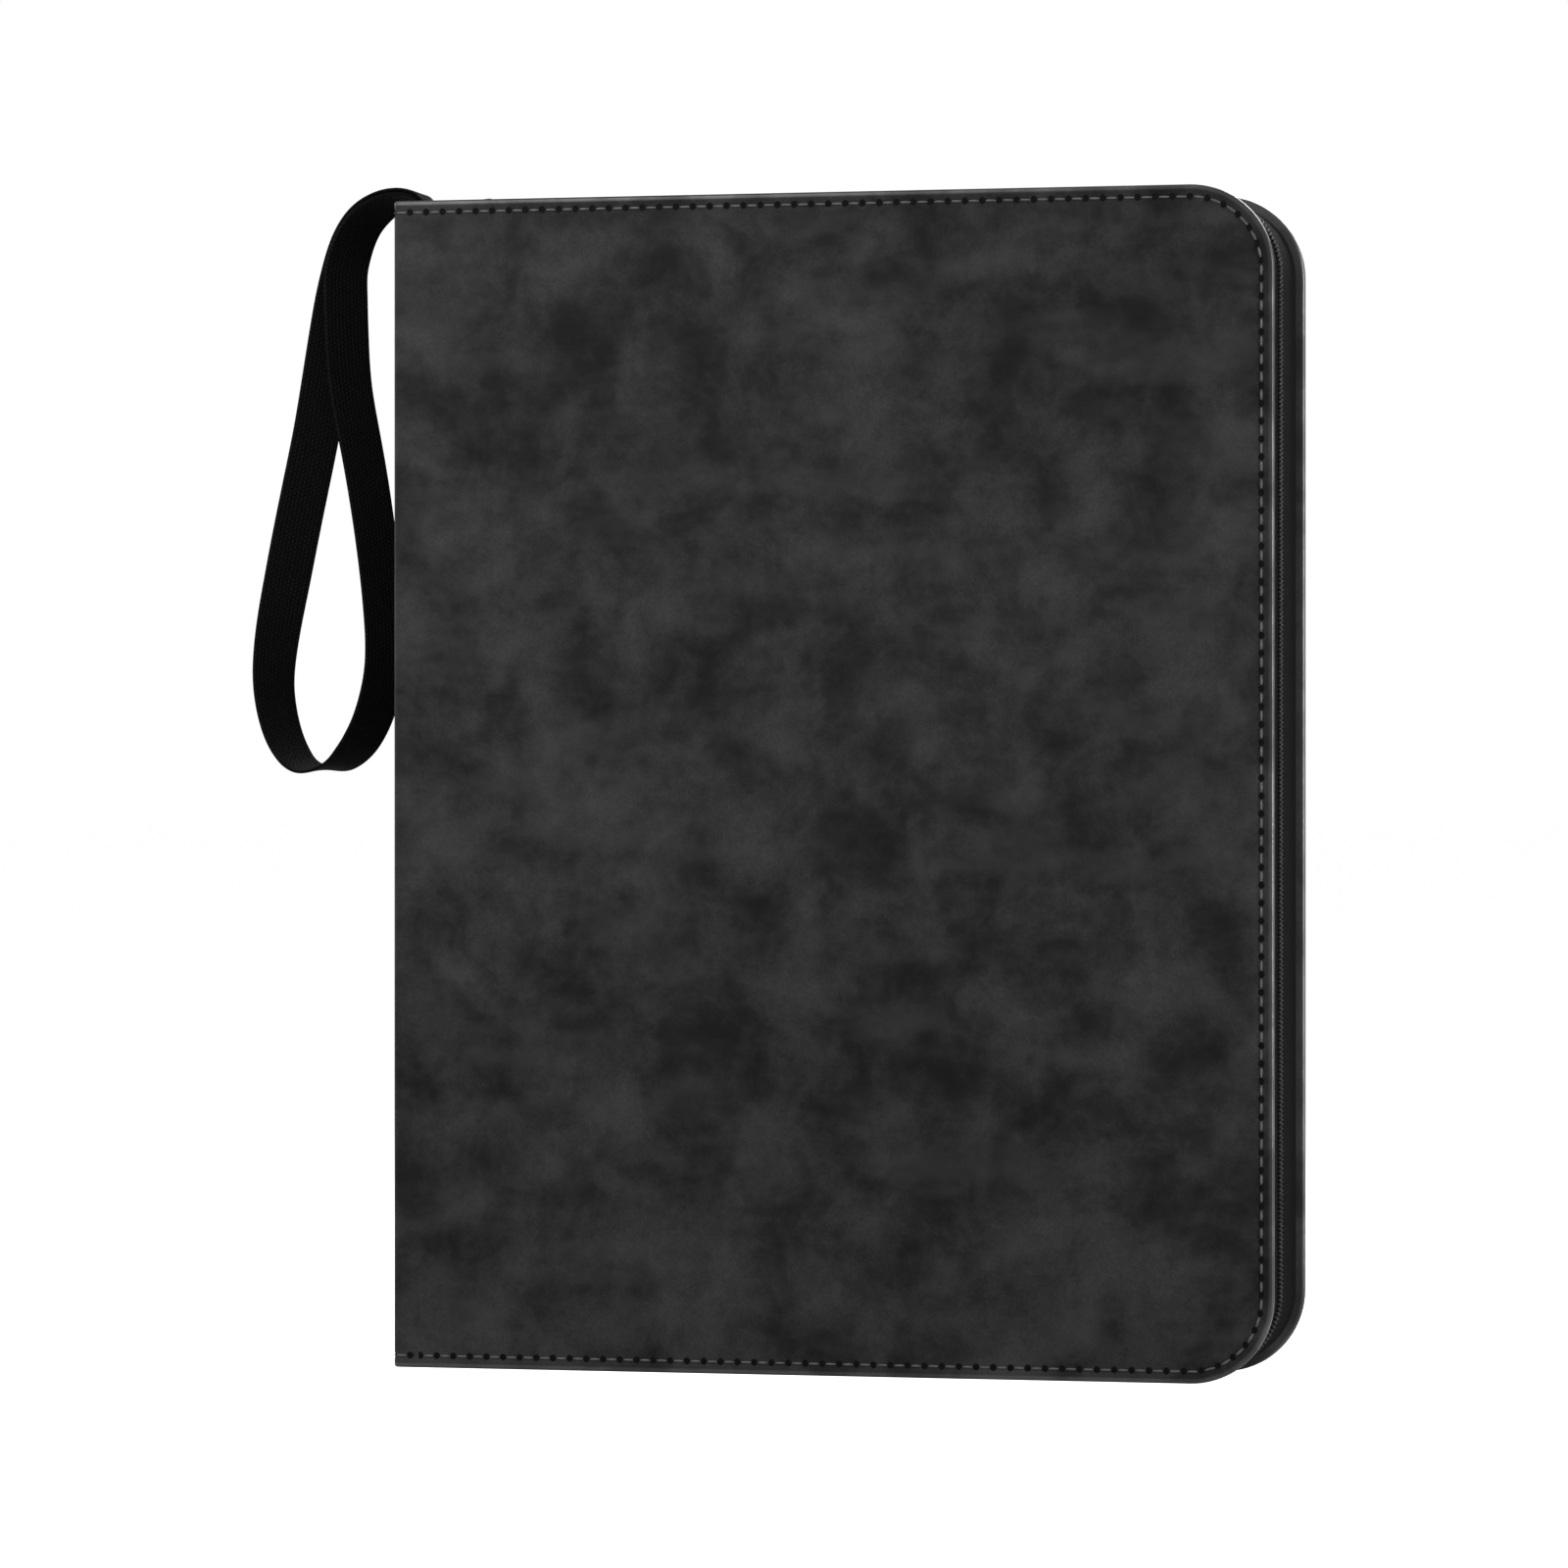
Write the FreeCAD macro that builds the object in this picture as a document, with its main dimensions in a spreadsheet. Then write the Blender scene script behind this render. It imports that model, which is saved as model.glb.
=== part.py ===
"""A zippered three-ring binder for trading cards, with a wrist strap, closed and standing on its edge.

Frame: +Z up along the spine, +X from the spine to the zip edge, +Y from the front cover to the
rear cover. The origin is on the bottom edge of the spine, half way through its thickness and width.
"""
import math
import os

import FreeCAD
import Part
import Sketcher

doc = FreeCAD.newDocument("card_binder")

# ---------------------------------------------------------------- driving dimensions, millimetres
SIZES = {
    # the case as a whole
    "cover_width": 269.2,
    "cover_height": 350.5,
    "case_depth": 50.0,
    "corner_radius": 25.0,
    # how far a cutting tool starts outside what it cuts, and how far a joined pad reaches into its piece
    "cut_lead": 1.0,
    "join_depth": 0.1,
    # a cover panel, from the outside inwards
    "skin_thick": 1.0,
    "board_thick": 2.4,
    "lining_thick": 0.4,
    "rim_thick": 1.8,
    "rim_width": 9.6,
    "board_gap": 0.3,
    "hinge_gap": 8.0,
    "skin_gap": 0.1,
    "lining_inset": 3.6,
    "spine_rim": 6.0,
    # the zip
    "tape_thick": 0.6,
    "tape_inset": 2.6,
    "flange_width": 6.8,
    "tape_start": 9.0,
    "zip_line": -3.0,
    "coil_width": 1.9,
    "coil_gap": 0.6,
    "coil_half": 1.1,
    "stop_length": 1.8,
    "stop_gap": 0.1,
    "slider_start": 13.0,
    "slider_length": 16.0,
    "slider_half": 5.0,
    "slider_plate": 1.0,
    "slider_channel": 1.4,
    "slider_slot": 0.6,
    "slider_lip": 1.6,
    "post_half": 0.4,
    "post_start": 0.5,
    "post_long": 4.0,
    "bridge_long": 4.4,
    "bridge_tall": 2.4,
    "bridge_half": 1.2,
    "pull_long": 28.0,
    "pull_half": 3.5,
    "pull_thick": 1.2,
    "pull_round": 1.5,
    "pull_pin": 0.6,
    "pin_clear": 0.02,
    "eye_clear": 0.15,
    "fork_back": 0.8,
    "fork_long": 4.0,
    "fork_neck": 5.0,
    "fork_shoulder": 6.0,
    "fork_spread": 1.5,
    "running_gap": 0.3,
    "throat_clear": 4.6,
    # the ring mechanism
    "housing_long": 280.0,
    "housing_half": 12.3,
    "housing_tall": 5.5,
    "housing_sheet": 0.9,
    "housing_round": 2.5,
    "housing_sill": 2.3,
    "window_near": 5.2,
    "window_far": 20.0,
    "window_clear": 0.7,
    "slot_long": 8.0,
    "blade_long": 262.0,
    "blade_half": 11.0,
    "blade_thick": 1.0,
    "blade_lift": 0.6,
    "blade_gap": 0.2,
    "blade_notch": 0.4,
    "foot_lift": 0.05,
    "ring_radius": 12.5,
    "ring_sink": 0.5,
    "ring_wire": 1.5,
    "ring_pitch": 107.95,
    "ring_split": 0.4,
    "rivet_place": 122.0,
    "rivet_shank": 1.5,
    "rivet_head": 3.2,
    "rivet_flat": 0.6,
    "rivet_clear": 0.1,
    "rivet_head_clear": 0.2,
    "rivet_inset": 0.8,
    "lever_half": 4.5,
    "lever_thick": 1.5,
    "lever_rise": 3.0,
    "lever_inner": 4.0,
    "lever_outer": 17.0,
    "lever_slope": 12.0,
    "lever_pin": 0.8,
    "lever_bore": 0.9,
    "lever_hub": 1.6,
    "lever_place": 136.0,
    # the pages
    "page_width": 233.0,
    "page_height": 300.0,
    "page_thick": 0.3,
    "page_pitch": 0.5,
    "page_edge": 5.0,
    "page_hole": 4.25,
    "page_hole_shift": 1.0,
    # the wrist strap
    "strap_width": 15.0,
    "strap_thick": 1.1,
    "strap_ply_gap": 0.2,
    "strap_tail": 28.0,
}
PAGE_COUNT = 20
FRONT, REAR = 1, -1
BOTTOM, TOP = -1, 1

sheet = doc.addObject("Spreadsheet::Sheet", "Sizes")
for row, (alias, value) in enumerate(SIZES.items(), start=1):
    sheet.set(f"A{row}", alias)
    sheet.set(f"B{row}", str(value))
    sheet.setAlias(f"B{row}", alias)
doc.recompute()

# ---------------------------------------------------------------- places worked out from the sizes
# Each is an expression on the sheet's cells. Depths are measured out from the mid-plane of the case.
PANEL = "(Sizes.skin_thick + Sizes.board_thick + Sizes.lining_thick)"
OUTER_X = f"(-{PANEL} / 2)"
INNER_X = f"({PANEL} / 2)"
RIGHT_X = f"({OUTER_X} + Sizes.cover_width)"
MID_Z = "(Sizes.cover_height / 2)"
FACE = "(Sizes.case_depth / 2)"
WEB_TOP = "(Sizes.cover_height - Sizes.tape_inset - Sizes.tape_thick / 2)"
RING_RISE = "(Sizes.ring_radius - Sizes.ring_sink)"
RING_X = f"({INNER_X} + {RING_RISE})"
RIVET_ZS = [f"({MID_Z} - Sizes.rivet_place)", f"({MID_Z} + Sizes.rivet_place)"]
RING_ZS = [f"({MID_Z} + {step} * Sizes.ring_pitch)" for step in (-1, 0, 1)]


def value(expression):
    """The number that an expression on the sheet stands for."""
    result = sheet.evalExpression(str(expression))
    return float(getattr(result, "Value", result))


def bind(item, **expressions):
    """Bind properties of an object to the sheet."""
    for name, expression in expressions.items():
        item.setExpression(name, str(expression))
    return item


# ---------------------------------------------------------------- sketching helpers
def new_body(label):
    body = doc.addObject("PartDesign::Body", label)
    body.Label = label
    return body


def new_sketch(body, plane, offset="0"):
    """A sketch on one of the body's own planes, moved along that plane's normal."""
    sketch = body.newObject("Sketcher::SketchObject", f"{body.Label}_sketch")
    support = next(item for item in body.Origin.OriginFeatures if item.Role == plane)
    sketch.AttachmentSupport = [(support, "")]
    sketch.MapMode = "FlatFace"
    sketch.setExpression(".AttachmentOffset.Base.z", str(offset))
    return sketch


def pin_down(sketch, geometry, end, across, up):
    """Hold a point of the sketch at two expressions from the sketch's origin."""
    for kind, expression in (("DistanceX", across), ("DistanceY", up)):
        place = Sketcher.Constraint(kind, -1, 1, geometry, end, value(expression))
        number = sketch.addConstraint(place)
        sketch.setExpression(f"Constraints[{number}]", str(expression))


def step_sign(step):
    """1 or -1 for the way that a step goes, and 0 for no step."""
    return 0.0 if abs(step) < 1e-6 else math.copysign(1.0, step)


def outline(sketch, corners):
    """A closed outline of straight sides. A corner is (across, up) or (across, up, radius), and
    a rounded corner lies between two sides that run along the sketch's axes."""
    numbers = [(value(corner[0]), value(corner[1])) for corner in corners]
    ends = []
    for index, corner in enumerate(corners):
        if len(corner) == 2:
            ends.append((corner, corner, None))
            continue
        across, up, radius = corner
        before = numbers[index - 1]
        after = numbers[(index + 1) % len(corners)]
        here = numbers[index]
        come = [step_sign(here[k] - before[k]) for k in (0, 1)]
        leave = [step_sign(after[k] - here[k]) for k in (0, 1)]
        first = (f"{across} - ({come[0]:g}) * {radius}", f"{up} - ({come[1]:g}) * {radius}")
        second = (f"{across} + ({leave[0]:g}) * {radius}", f"{up} + ({leave[1]:g}) * {radius}")
        centre = [value(first[k]) + leave[k] * value(radius) for k in (0, 1)]
        ends.append((first, second, (centre, radius)))
    lines = []
    for index, (_, start, _) in enumerate(ends):
        stop = ends[(index + 1) % len(ends)][0]
        start_point = FreeCAD.Vector(value(start[0]), value(start[1]), 0)
        stop_point = FreeCAD.Vector(value(stop[0]), value(stop[1]), 0)
        lines.append(sketch.addGeometry(Part.LineSegment(start_point, stop_point)))
        pin_down(sketch, lines[-1], 1, start[0], start[1])
        if ends[(index + 1) % len(ends)][2]:
            pin_down(sketch, lines[-1], 2, stop[0], stop[1])
    for index, (_, _, round_corner) in enumerate(ends):
        before = lines[index - 1]
        after = lines[index]
        if round_corner is None:
            sketch.addConstraint(Sketcher.Constraint("Coincident", before, 2, after, 1))
            continue
        centre, radius = round_corner
        a = sketch.Geometry[before].EndPoint
        b = sketch.Geometry[after].StartPoint
        start_angle = math.atan2(a.y - centre[1], a.x - centre[0])
        stop_angle = math.atan2(b.y - centre[1], b.x - centre[0])
        turn = (stop_angle - start_angle + math.pi) % (2 * math.pi) - math.pi
        low, high = (start_angle, stop_angle) if turn > 0 else (stop_angle, start_angle)
        circle = Part.Circle(FreeCAD.Vector(*centre, 0), FreeCAD.Vector(0, 0, 1), value(radius))
        arc = sketch.addGeometry(Part.ArcOfCircle(circle, low, high))
        at_low, at_high = ((before, 2), (after, 1)) if turn > 0 else ((after, 1), (before, 2))
        sketch.addConstraint(Sketcher.Constraint("Coincident", arc, 1, *at_low))
        sketch.addConstraint(Sketcher.Constraint("Coincident", arc, 2, *at_high))
        number = sketch.addConstraint(Sketcher.Constraint("Radius", arc, value(radius)))
        sketch.setExpression(f"Constraints[{number}]", str(radius))


def rectangle(sketch, left, right, low, high):
    outline(sketch, [(left, low), (right, low), (right, high), (left, high)])


def circle(sketch, across, up, radius):
    centre = FreeCAD.Vector(value(across), value(up), 0)
    number = sketch.addGeometry(Part.Circle(centre, FreeCAD.Vector(0, 0, 1), value(radius)))
    pin_down(sketch, number, 3, across, up)
    size = sketch.addConstraint(Sketcher.Constraint("Radius", number, value(radius)))
    sketch.setExpression(f"Constraints[{size}]", str(radius))


def pad(body, sketch, length, backwards=False):
    feature = body.newObject("PartDesign::Pad", f"{body.Label}_pad")
    feature.Profile = sketch
    feature.Reversed = backwards
    feature.setExpression("Length", str(length))
    sketch.Visibility = False
    doc.recompute()
    return feature


def pocket(body, sketch, depth, backwards=False):
    """Cut a pocket, and make sure that it has taken something away."""
    before = body.Shape.Volume
    feature = body.newObject("PartDesign::Pocket", f"{body.Label}_pocket")
    feature.Profile = sketch
    feature.Reversed = backwards
    feature.setExpression("Length", str(depth))
    sketch.Visibility = False
    doc.recompute()
    if body.Shape.Volume > before - 1e-3:
        raise ValueError(f"a pocket in {body.Label} cuts nothing")
    return feature


def panel_layer(body, side, outermost, thickness, draw):
    """Pad a layer of a cover inwards from a depth outside the mid-plane, on the front or rear side."""
    sketch = new_sketch(body, "XZ_Plane", f"{side} * ({outermost})")
    draw(sketch)
    return pad(body, sketch, thickness, backwards=(side == FRONT))


def edge_band(sketch, inset, width, low_start, high_start):
    """A band round the three free edges of a cover: bottom, zip edge and top."""
    outer, inner = f"{inset}", f"({inset} + {width})"
    outer_x, outer_z = f"({RIGHT_X} - {outer})", f"(Sizes.cover_height - {outer})"
    inner_x, inner_z = f"({RIGHT_X} - {inner})", f"(Sizes.cover_height - {inner})"
    outer_round, inner_round = f"(Sizes.corner_radius - {outer})", f"(Sizes.corner_radius - {inner})"
    outline(sketch, [
        (low_start, outer), (outer_x, outer, outer_round), (outer_x, outer_z, outer_round),
        (high_start, outer_z), (high_start, inner_z),
        (inner_x, inner_z, inner_round), (inner_x, inner, inner_round), (low_start, inner),
    ])


def cover_plate(sketch, start, inset):
    """A plate with the cover's outline, set in from its three free edges."""
    outline(sketch, [
        (start, inset),
        (f"({RIGHT_X} - {inset})", inset, f"(Sizes.corner_radius - {inset})"),
        (f"({RIGHT_X} - {inset})", f"(Sizes.cover_height - {inset})", f"(Sizes.corner_radius - {inset})"),
        (start, f"(Sizes.cover_height - {inset})"),
    ])


nodes = []


def keep(item, label):
    """Name an object as one of the binder's pieces."""
    item.Label = label
    nodes.append(item)
    return item


# ---------------------------------------------------------------- covers and their zip tapes
# Each cover is a wrapped board: an outer skin that covers the corner of the spine and is folded
# into a rim at its three free edges, a stiff board, and a thin lining. The zip tape is sewn to the
# rim by its flange and crosses the depth of the case as a wall just inside the edge.
COVER_START = f"({OUTER_X} + Sizes.hinge_gap)"
BOARD_INSET = "(Sizes.rim_width + Sizes.board_gap)"
TAPE_START = f"({OUTER_X} + Sizes.tape_start)"
COIL_START = f"({TAPE_START} + Sizes.stop_length + Sizes.stop_gap)"
SLIDER_END = "(Sizes.slider_start + Sizes.slider_length)"
FLANGE_DEPTH = f"({FACE} - Sizes.skin_thick - Sizes.rim_thick)"


def cover(side, name):
    skin = new_body(f"{name}_cover_skin")
    panel_layer(skin, side, FACE, "Sizes.skin_thick", lambda s: cover_plate(s, OUTER_X, "0"))
    panel_layer(skin, side, f"{FACE} - Sizes.skin_thick", "Sizes.rim_thick",
                lambda s: edge_band(s, "0", "Sizes.rim_width", COVER_START, COVER_START))
    keep(skin, f"{name}_cover_skin")

    board = new_body(f"{name}_cover_board")
    panel_layer(board, side, f"{FACE} - Sizes.skin_thick", "Sizes.board_thick",
                lambda s: cover_plate(s, COVER_START, BOARD_INSET))
    keep(board, f"{name}_cover_board")

    lining = new_body(f"{name}_cover_lining")
    panel_layer(lining, side, f"{FACE} - Sizes.skin_thick - Sizes.board_thick", "Sizes.lining_thick",
                lambda s: cover_plate(s, COVER_START, "Sizes.lining_inset"))
    keep(lining, f"{name}_cover_lining")


def row_edge(side):
    """How deep the tape's inner edge lies, where it meets its row of coils."""
    return f"({-side} * Sizes.zip_line + Sizes.coil_gap + Sizes.coil_width)"


def zip_tape(side, name):
    tape = new_body(f"{name}_zip_tape")
    panel_layer(tape, side, FLANGE_DEPTH, "Sizes.tape_thick",
                lambda s: edge_band(s, "Sizes.tape_inset", "Sizes.flange_width", TAPE_START, TAPE_START))
    panel_layer(tape, side, FLANGE_DEPTH, f"{FLANGE_DEPTH} - {row_edge(side)}",
                lambda s: edge_band(s, "Sizes.tape_inset", "Sizes.tape_thick", TAPE_START, TAPE_START))
    keep(tape, f"{name}_zip_tape")


def coil_row(side, name, high_start):
    """A row of zip coils, drawn as a plain band, with a metal stop at each of its ends."""
    inset = "(Sizes.tape_inset + Sizes.tape_thick / 2 - Sizes.coil_half)"
    coil = new_body(f"{name}_zip_coil")
    panel_layer(coil, side, row_edge(side), "Sizes.coil_width",
                lambda s: edge_band(s, inset, "(2 * Sizes.coil_half)", COIL_START, high_start))
    keep(coil, f"{name}_zip_coil")

    stops = []
    for level, end in ((BOTTOM, COIL_START), (TOP, high_start)):
        low = inset if level == BOTTOM else f"(Sizes.cover_height - {inset} - 2 * Sizes.coil_half)"
        stop = bind(doc.addObject("Part::Box", f"{name}_stop"),
                    Length="Sizes.stop_length", Width="Sizes.coil_width", Height="2 * Sizes.coil_half")
        near = f"-{row_edge(side)}" if side == FRONT else f"({row_edge(side)} - Sizes.coil_width)"
        stop.setExpression(".Placement.Base.x", f"{end} - Sizes.stop_length - Sizes.stop_gap")
        stop.setExpression(".Placement.Base.y", near)
        stop.setExpression(".Placement.Base.z", low)
        stops.append(stop)
    group = doc.addObject("Part::Compound", f"{name}_zip_stops")
    group.Links = stops
    keep(group, f"{name}_zip_stops")


for side, name in ((FRONT, "front"), (REAR, "rear")):
    cover(side, name)
    zip_tape(side, name)
# At the closed end the front row stops short of the slider, so that either cover can swing clear.
FRONT_ROW_END = f"({SLIDER_END} + Sizes.throat_clear + Sizes.stop_length + Sizes.stop_gap)"
coil_row(FRONT, "front", FRONT_ROW_END)
coil_row(REAR, "rear", COIL_START)

# ---------------------------------------------------------------- zip slider and its pull
# The slider is a channel round both rows: two plates joined by a thin post between the rows, with
# lips that leave a slot on each side for the tapes. The pull swings on a pin through its bridge.
ZIP_Y = "Sizes.zip_line"
PLATE_TOP = "(Sizes.slider_channel + Sizes.slider_plate)"
PULL_X = "(Sizes.slider_start + Sizes.slider_length / 2)"
PULL_Z = f"({WEB_TOP} + {PLATE_TOP} + Sizes.bridge_tall / 2)"


def slider_half(sketch, sign):
    """One plate of the slider in cross-section, above or below the tape."""
    plate = f"({WEB_TOP} + ({sign}) * {PLATE_TOP})"
    channel = f"({WEB_TOP} + ({sign}) * Sizes.slider_channel)"
    slot = f"({WEB_TOP} + ({sign}) * Sizes.slider_slot)"
    left, right = f"({ZIP_Y} - Sizes.slider_half)", f"({ZIP_Y} + Sizes.slider_half)"
    outline(sketch, [
        (left, plate), (left, slot), (f"({left} + Sizes.slider_lip)", slot),
        (f"({left} + Sizes.slider_lip)", channel), (f"({right} - Sizes.slider_lip)", channel),
        (f"({right} - Sizes.slider_lip)", slot), (right, slot), (right, plate),
    ])


slider = new_body("slider_body")
for sign in (BOTTOM, TOP):
    profile = new_sketch(slider, "YZ_Plane", "Sizes.slider_start")
    slider_half(profile, sign)
    if sign == BOTTOM:
        pad(slider, profile, "Sizes.slider_length")
        post = new_sketch(slider, "YZ_Plane", "Sizes.slider_start + Sizes.post_start")
        rectangle(post, f"{ZIP_Y} - Sizes.post_half", f"{ZIP_Y} + Sizes.post_half",
                  f"{WEB_TOP} - Sizes.slider_channel - Sizes.join_depth",
                  f"{WEB_TOP} + Sizes.slider_channel + Sizes.join_depth")
        pad(slider, post, "Sizes.post_long")
    else:
        pad(slider, profile, "Sizes.slider_length")
bridge = new_sketch(slider, "XZ_Plane", f"-{ZIP_Y} - Sizes.bridge_half")
rectangle(bridge, f"{PULL_X} - Sizes.bridge_long / 2", f"{PULL_X} + Sizes.bridge_long / 2",
          f"{WEB_TOP} + {PLATE_TOP} - Sizes.join_depth", f"{WEB_TOP} + {PLATE_TOP} + Sizes.bridge_tall")
pad(slider, bridge, "2 * Sizes.bridge_half")
eye = new_sketch(slider, "XZ_Plane", f"-{ZIP_Y} - Sizes.bridge_half - Sizes.cut_lead")
circle(eye, PULL_X, PULL_Z, "Sizes.pull_pin + Sizes.eye_clear")
pocket(slider, eye, "2 * Sizes.bridge_half + 2 * Sizes.cut_lead", backwards=True)
keep(slider, "slider_body")

pull = new_body("zip_pull")
tab = new_sketch(pull, "XY_Plane", f"{PULL_Z} - Sizes.pull_thick / 2")
FORK_IN = "(Sizes.bridge_half + Sizes.running_gap)"
FORK_OUT = "(Sizes.bridge_half + Sizes.fork_spread)"
BACK, CROTCH = f"{PULL_X} - Sizes.fork_back", f"{PULL_X} + Sizes.fork_long"
NECK, SHOULDER = f"{PULL_X} + Sizes.fork_neck", f"{PULL_X} + Sizes.fork_shoulder"
TAB_END = f"{PULL_X} + Sizes.pull_long"
outline(tab, [
    (BACK, f"{ZIP_Y} - {FORK_OUT}"), (NECK, f"{ZIP_Y} - {FORK_OUT}"),
    (SHOULDER, f"{ZIP_Y} - Sizes.pull_half"),
    (TAB_END, f"{ZIP_Y} - Sizes.pull_half", "Sizes.pull_round"),
    (TAB_END, f"{ZIP_Y} + Sizes.pull_half", "Sizes.pull_round"),
    (SHOULDER, f"{ZIP_Y} + Sizes.pull_half"),
    (NECK, f"{ZIP_Y} + {FORK_OUT}"), (BACK, f"{ZIP_Y} + {FORK_OUT}"),
    (BACK, f"{ZIP_Y} + {FORK_IN}"), (CROTCH, f"{ZIP_Y} + {FORK_IN}"),
    (CROTCH, f"{ZIP_Y} - {FORK_IN}"), (BACK, f"{ZIP_Y} - {FORK_IN}"),
])
pad(pull, tab, "Sizes.pull_thick")
pin = new_sketch(pull, "XZ_Plane", f"-{ZIP_Y} - {FORK_OUT}")
circle(pin, PULL_X, PULL_Z, "Sizes.pull_pin - Sizes.pin_clear")
pad(pull, pin, f"2 * {FORK_OUT}")
keep(pull, "zip_pull")

# ---------------------------------------------------------------- spine
# The spine is the same wrapped board, as a narrow strip between the two cover skins. Its skin is
# folded over the board's ends, and the strap's sewn tail comes up through the fold at the top.
SPINE_HALF = f"({FACE} - Sizes.skin_thick - Sizes.skin_gap)"
SPINE_FLAT = f"({FACE} - Sizes.hinge_gap)"
TAIL_HALF = "(Sizes.strap_width / 2 + Sizes.board_gap)"
BOARD_LOW = "(Sizes.spine_rim + Sizes.board_gap)"
BOARD_HIGH = f"(Sizes.cover_height - {BOARD_LOW})"
NOTCH_LOW = "(Sizes.cover_height - Sizes.strap_tail - Sizes.board_gap)"

spine_skin = new_body("spine_skin")
strip = new_sketch(spine_skin, "YZ_Plane", OUTER_X)
rectangle(strip, f"-{SPINE_HALF}", SPINE_HALF, "0", "Sizes.cover_height")
pad(spine_skin, strip, "Sizes.skin_thick")
folds = new_sketch(spine_skin, "YZ_Plane", f"{OUTER_X} + Sizes.skin_thick")
rectangle(folds, f"-{SPINE_FLAT}", SPINE_FLAT, "0", "Sizes.spine_rim")
for edge in (f"-{SPINE_FLAT}", TAIL_HALF):
    width = f"({SPINE_FLAT} - {TAIL_HALF})"
    rectangle(folds, edge, f"{edge} + {width}",
              "Sizes.cover_height - Sizes.spine_rim", "Sizes.cover_height")
pad(spine_skin, folds, "Sizes.board_thick")
keep(spine_skin, "spine_skin")

spine_board = new_body("spine_board")
strip = new_sketch(spine_board, "YZ_Plane", f"{OUTER_X} + Sizes.skin_thick")
outline(strip, [
    (f"-{SPINE_FLAT}", BOARD_LOW), (SPINE_FLAT, BOARD_LOW), (SPINE_FLAT, BOARD_HIGH),
    (TAIL_HALF, BOARD_HIGH), (TAIL_HALF, NOTCH_LOW), (f"-{TAIL_HALF}", NOTCH_LOW),
    (f"-{TAIL_HALF}", BOARD_HIGH), (f"-{SPINE_FLAT}", BOARD_HIGH),
])
pad(spine_board, strip, "Sizes.board_thick")
HEAD_SINK = ("Sizes.rivet_head + Sizes.rivet_head_clear", "Sizes.rivet_flat + Sizes.rivet_clear")
SHANK_HOLE = ("Sizes.rivet_shank + Sizes.rivet_clear", "Sizes.board_thick")
for radius, depth in (HEAD_SINK, SHANK_HOLE):
    holes = new_sketch(spine_board, "YZ_Plane", f"{OUTER_X} + Sizes.skin_thick")
    for place in RIVET_ZS:
        circle(holes, "0", place, radius)
    pocket(spine_board, holes, depth, backwards=True)
keep(spine_board, "spine_board")

spine_lining = new_body("spine_lining")
strip = new_sketch(spine_lining, "YZ_Plane", f"{INNER_X} - Sizes.lining_thick")
rectangle(strip, f"-{SPINE_FLAT}", SPINE_FLAT, "Sizes.lining_inset",
          "Sizes.cover_height - Sizes.lining_inset")
for place in RIVET_ZS:
    circle(strip, "0", place, SHANK_HOLE[0])
pad(spine_lining, strip, "Sizes.lining_thick")
keep(spine_lining, "spine_lining")

# ---------------------------------------------------------------- ring mechanism
# A sheet-metal housing is riveted to the spine. Two hinged blades lie in it side by side, each
# carrying three half rings, and a lever at each end tips the blades to open the rings.
HOUSING_TOP = f"({INNER_X} + Sizes.housing_tall)"
HOUSING_IN = f"({HOUSING_TOP} - Sizes.housing_sheet)"
HOUSING_FLANK = "(Sizes.housing_half - Sizes.housing_sheet)"
LEVER_X = f"({INNER_X} + Sizes.lever_rise)"

housing = new_body("ring_housing")
channel = new_sketch(housing, "XY_Plane", f"{MID_Z} - Sizes.housing_long / 2")
outline(channel, [
    (INNER_X, "Sizes.housing_half"), (INNER_X, HOUSING_FLANK),
    (HOUSING_IN, HOUSING_FLANK, "(Sizes.housing_round - Sizes.housing_sheet)"),
    (HOUSING_IN, f"-{HOUSING_FLANK}", "(Sizes.housing_round - Sizes.housing_sheet)"),
    (INNER_X, f"-{HOUSING_FLANK}"), (INNER_X, "-Sizes.housing_half"),
    (HOUSING_TOP, "-Sizes.housing_half", "Sizes.housing_round"),
    (HOUSING_TOP, "Sizes.housing_half", "Sizes.housing_round"),
])
pad(housing, channel, "Sizes.housing_long")
windows = new_sketch(housing, "YZ_Plane", f"{HOUSING_TOP} + Sizes.cut_lead")
for place in RING_ZS:
    low, high = (f"{place} {sign} (Sizes.ring_wire + Sizes.window_clear)" for sign in "-+")
    rectangle(windows, "-Sizes.window_far", "-Sizes.window_near", low, high)
    rectangle(windows, "Sizes.window_near", "Sizes.window_far", low, high)
LEVER_SLOT = "(Sizes.lever_half + Sizes.window_clear)"
HOUSING_LOW, HOUSING_HIGH = (f"({MID_Z} {sign} Sizes.housing_long / 2)" for sign in "-+")
rectangle(windows, f"-{LEVER_SLOT}", LEVER_SLOT,
          f"{HOUSING_LOW} - Sizes.cut_lead", f"{HOUSING_LOW} + Sizes.slot_long")
rectangle(windows, f"-{LEVER_SLOT}", LEVER_SLOT,
          f"{HOUSING_HIGH} - Sizes.slot_long", f"{HOUSING_HIGH} + Sizes.cut_lead")
pocket(housing, windows, "Sizes.housing_tall + Sizes.cut_lead - Sizes.housing_sill")
rivet_holes = new_sketch(housing, "YZ_Plane", f"{HOUSING_TOP} + Sizes.cut_lead")
for place in RIVET_ZS:
    circle(rivet_holes, "0", place, SHANK_HOLE[0])
pocket(housing, rivet_holes, "2 * Sizes.cut_lead + Sizes.housing_sheet")
pin_holes = new_sketch(housing, "XZ_Plane", "Sizes.housing_half + Sizes.cut_lead")
for sign in (BOTTOM, TOP):
    circle(pin_holes, LEVER_X, f"{MID_Z} + ({sign}) * Sizes.lever_place", "Sizes.lever_pin + Sizes.pin_clear")
pocket(housing, pin_holes, "2 * Sizes.housing_half + 2 * Sizes.cut_lead")
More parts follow.
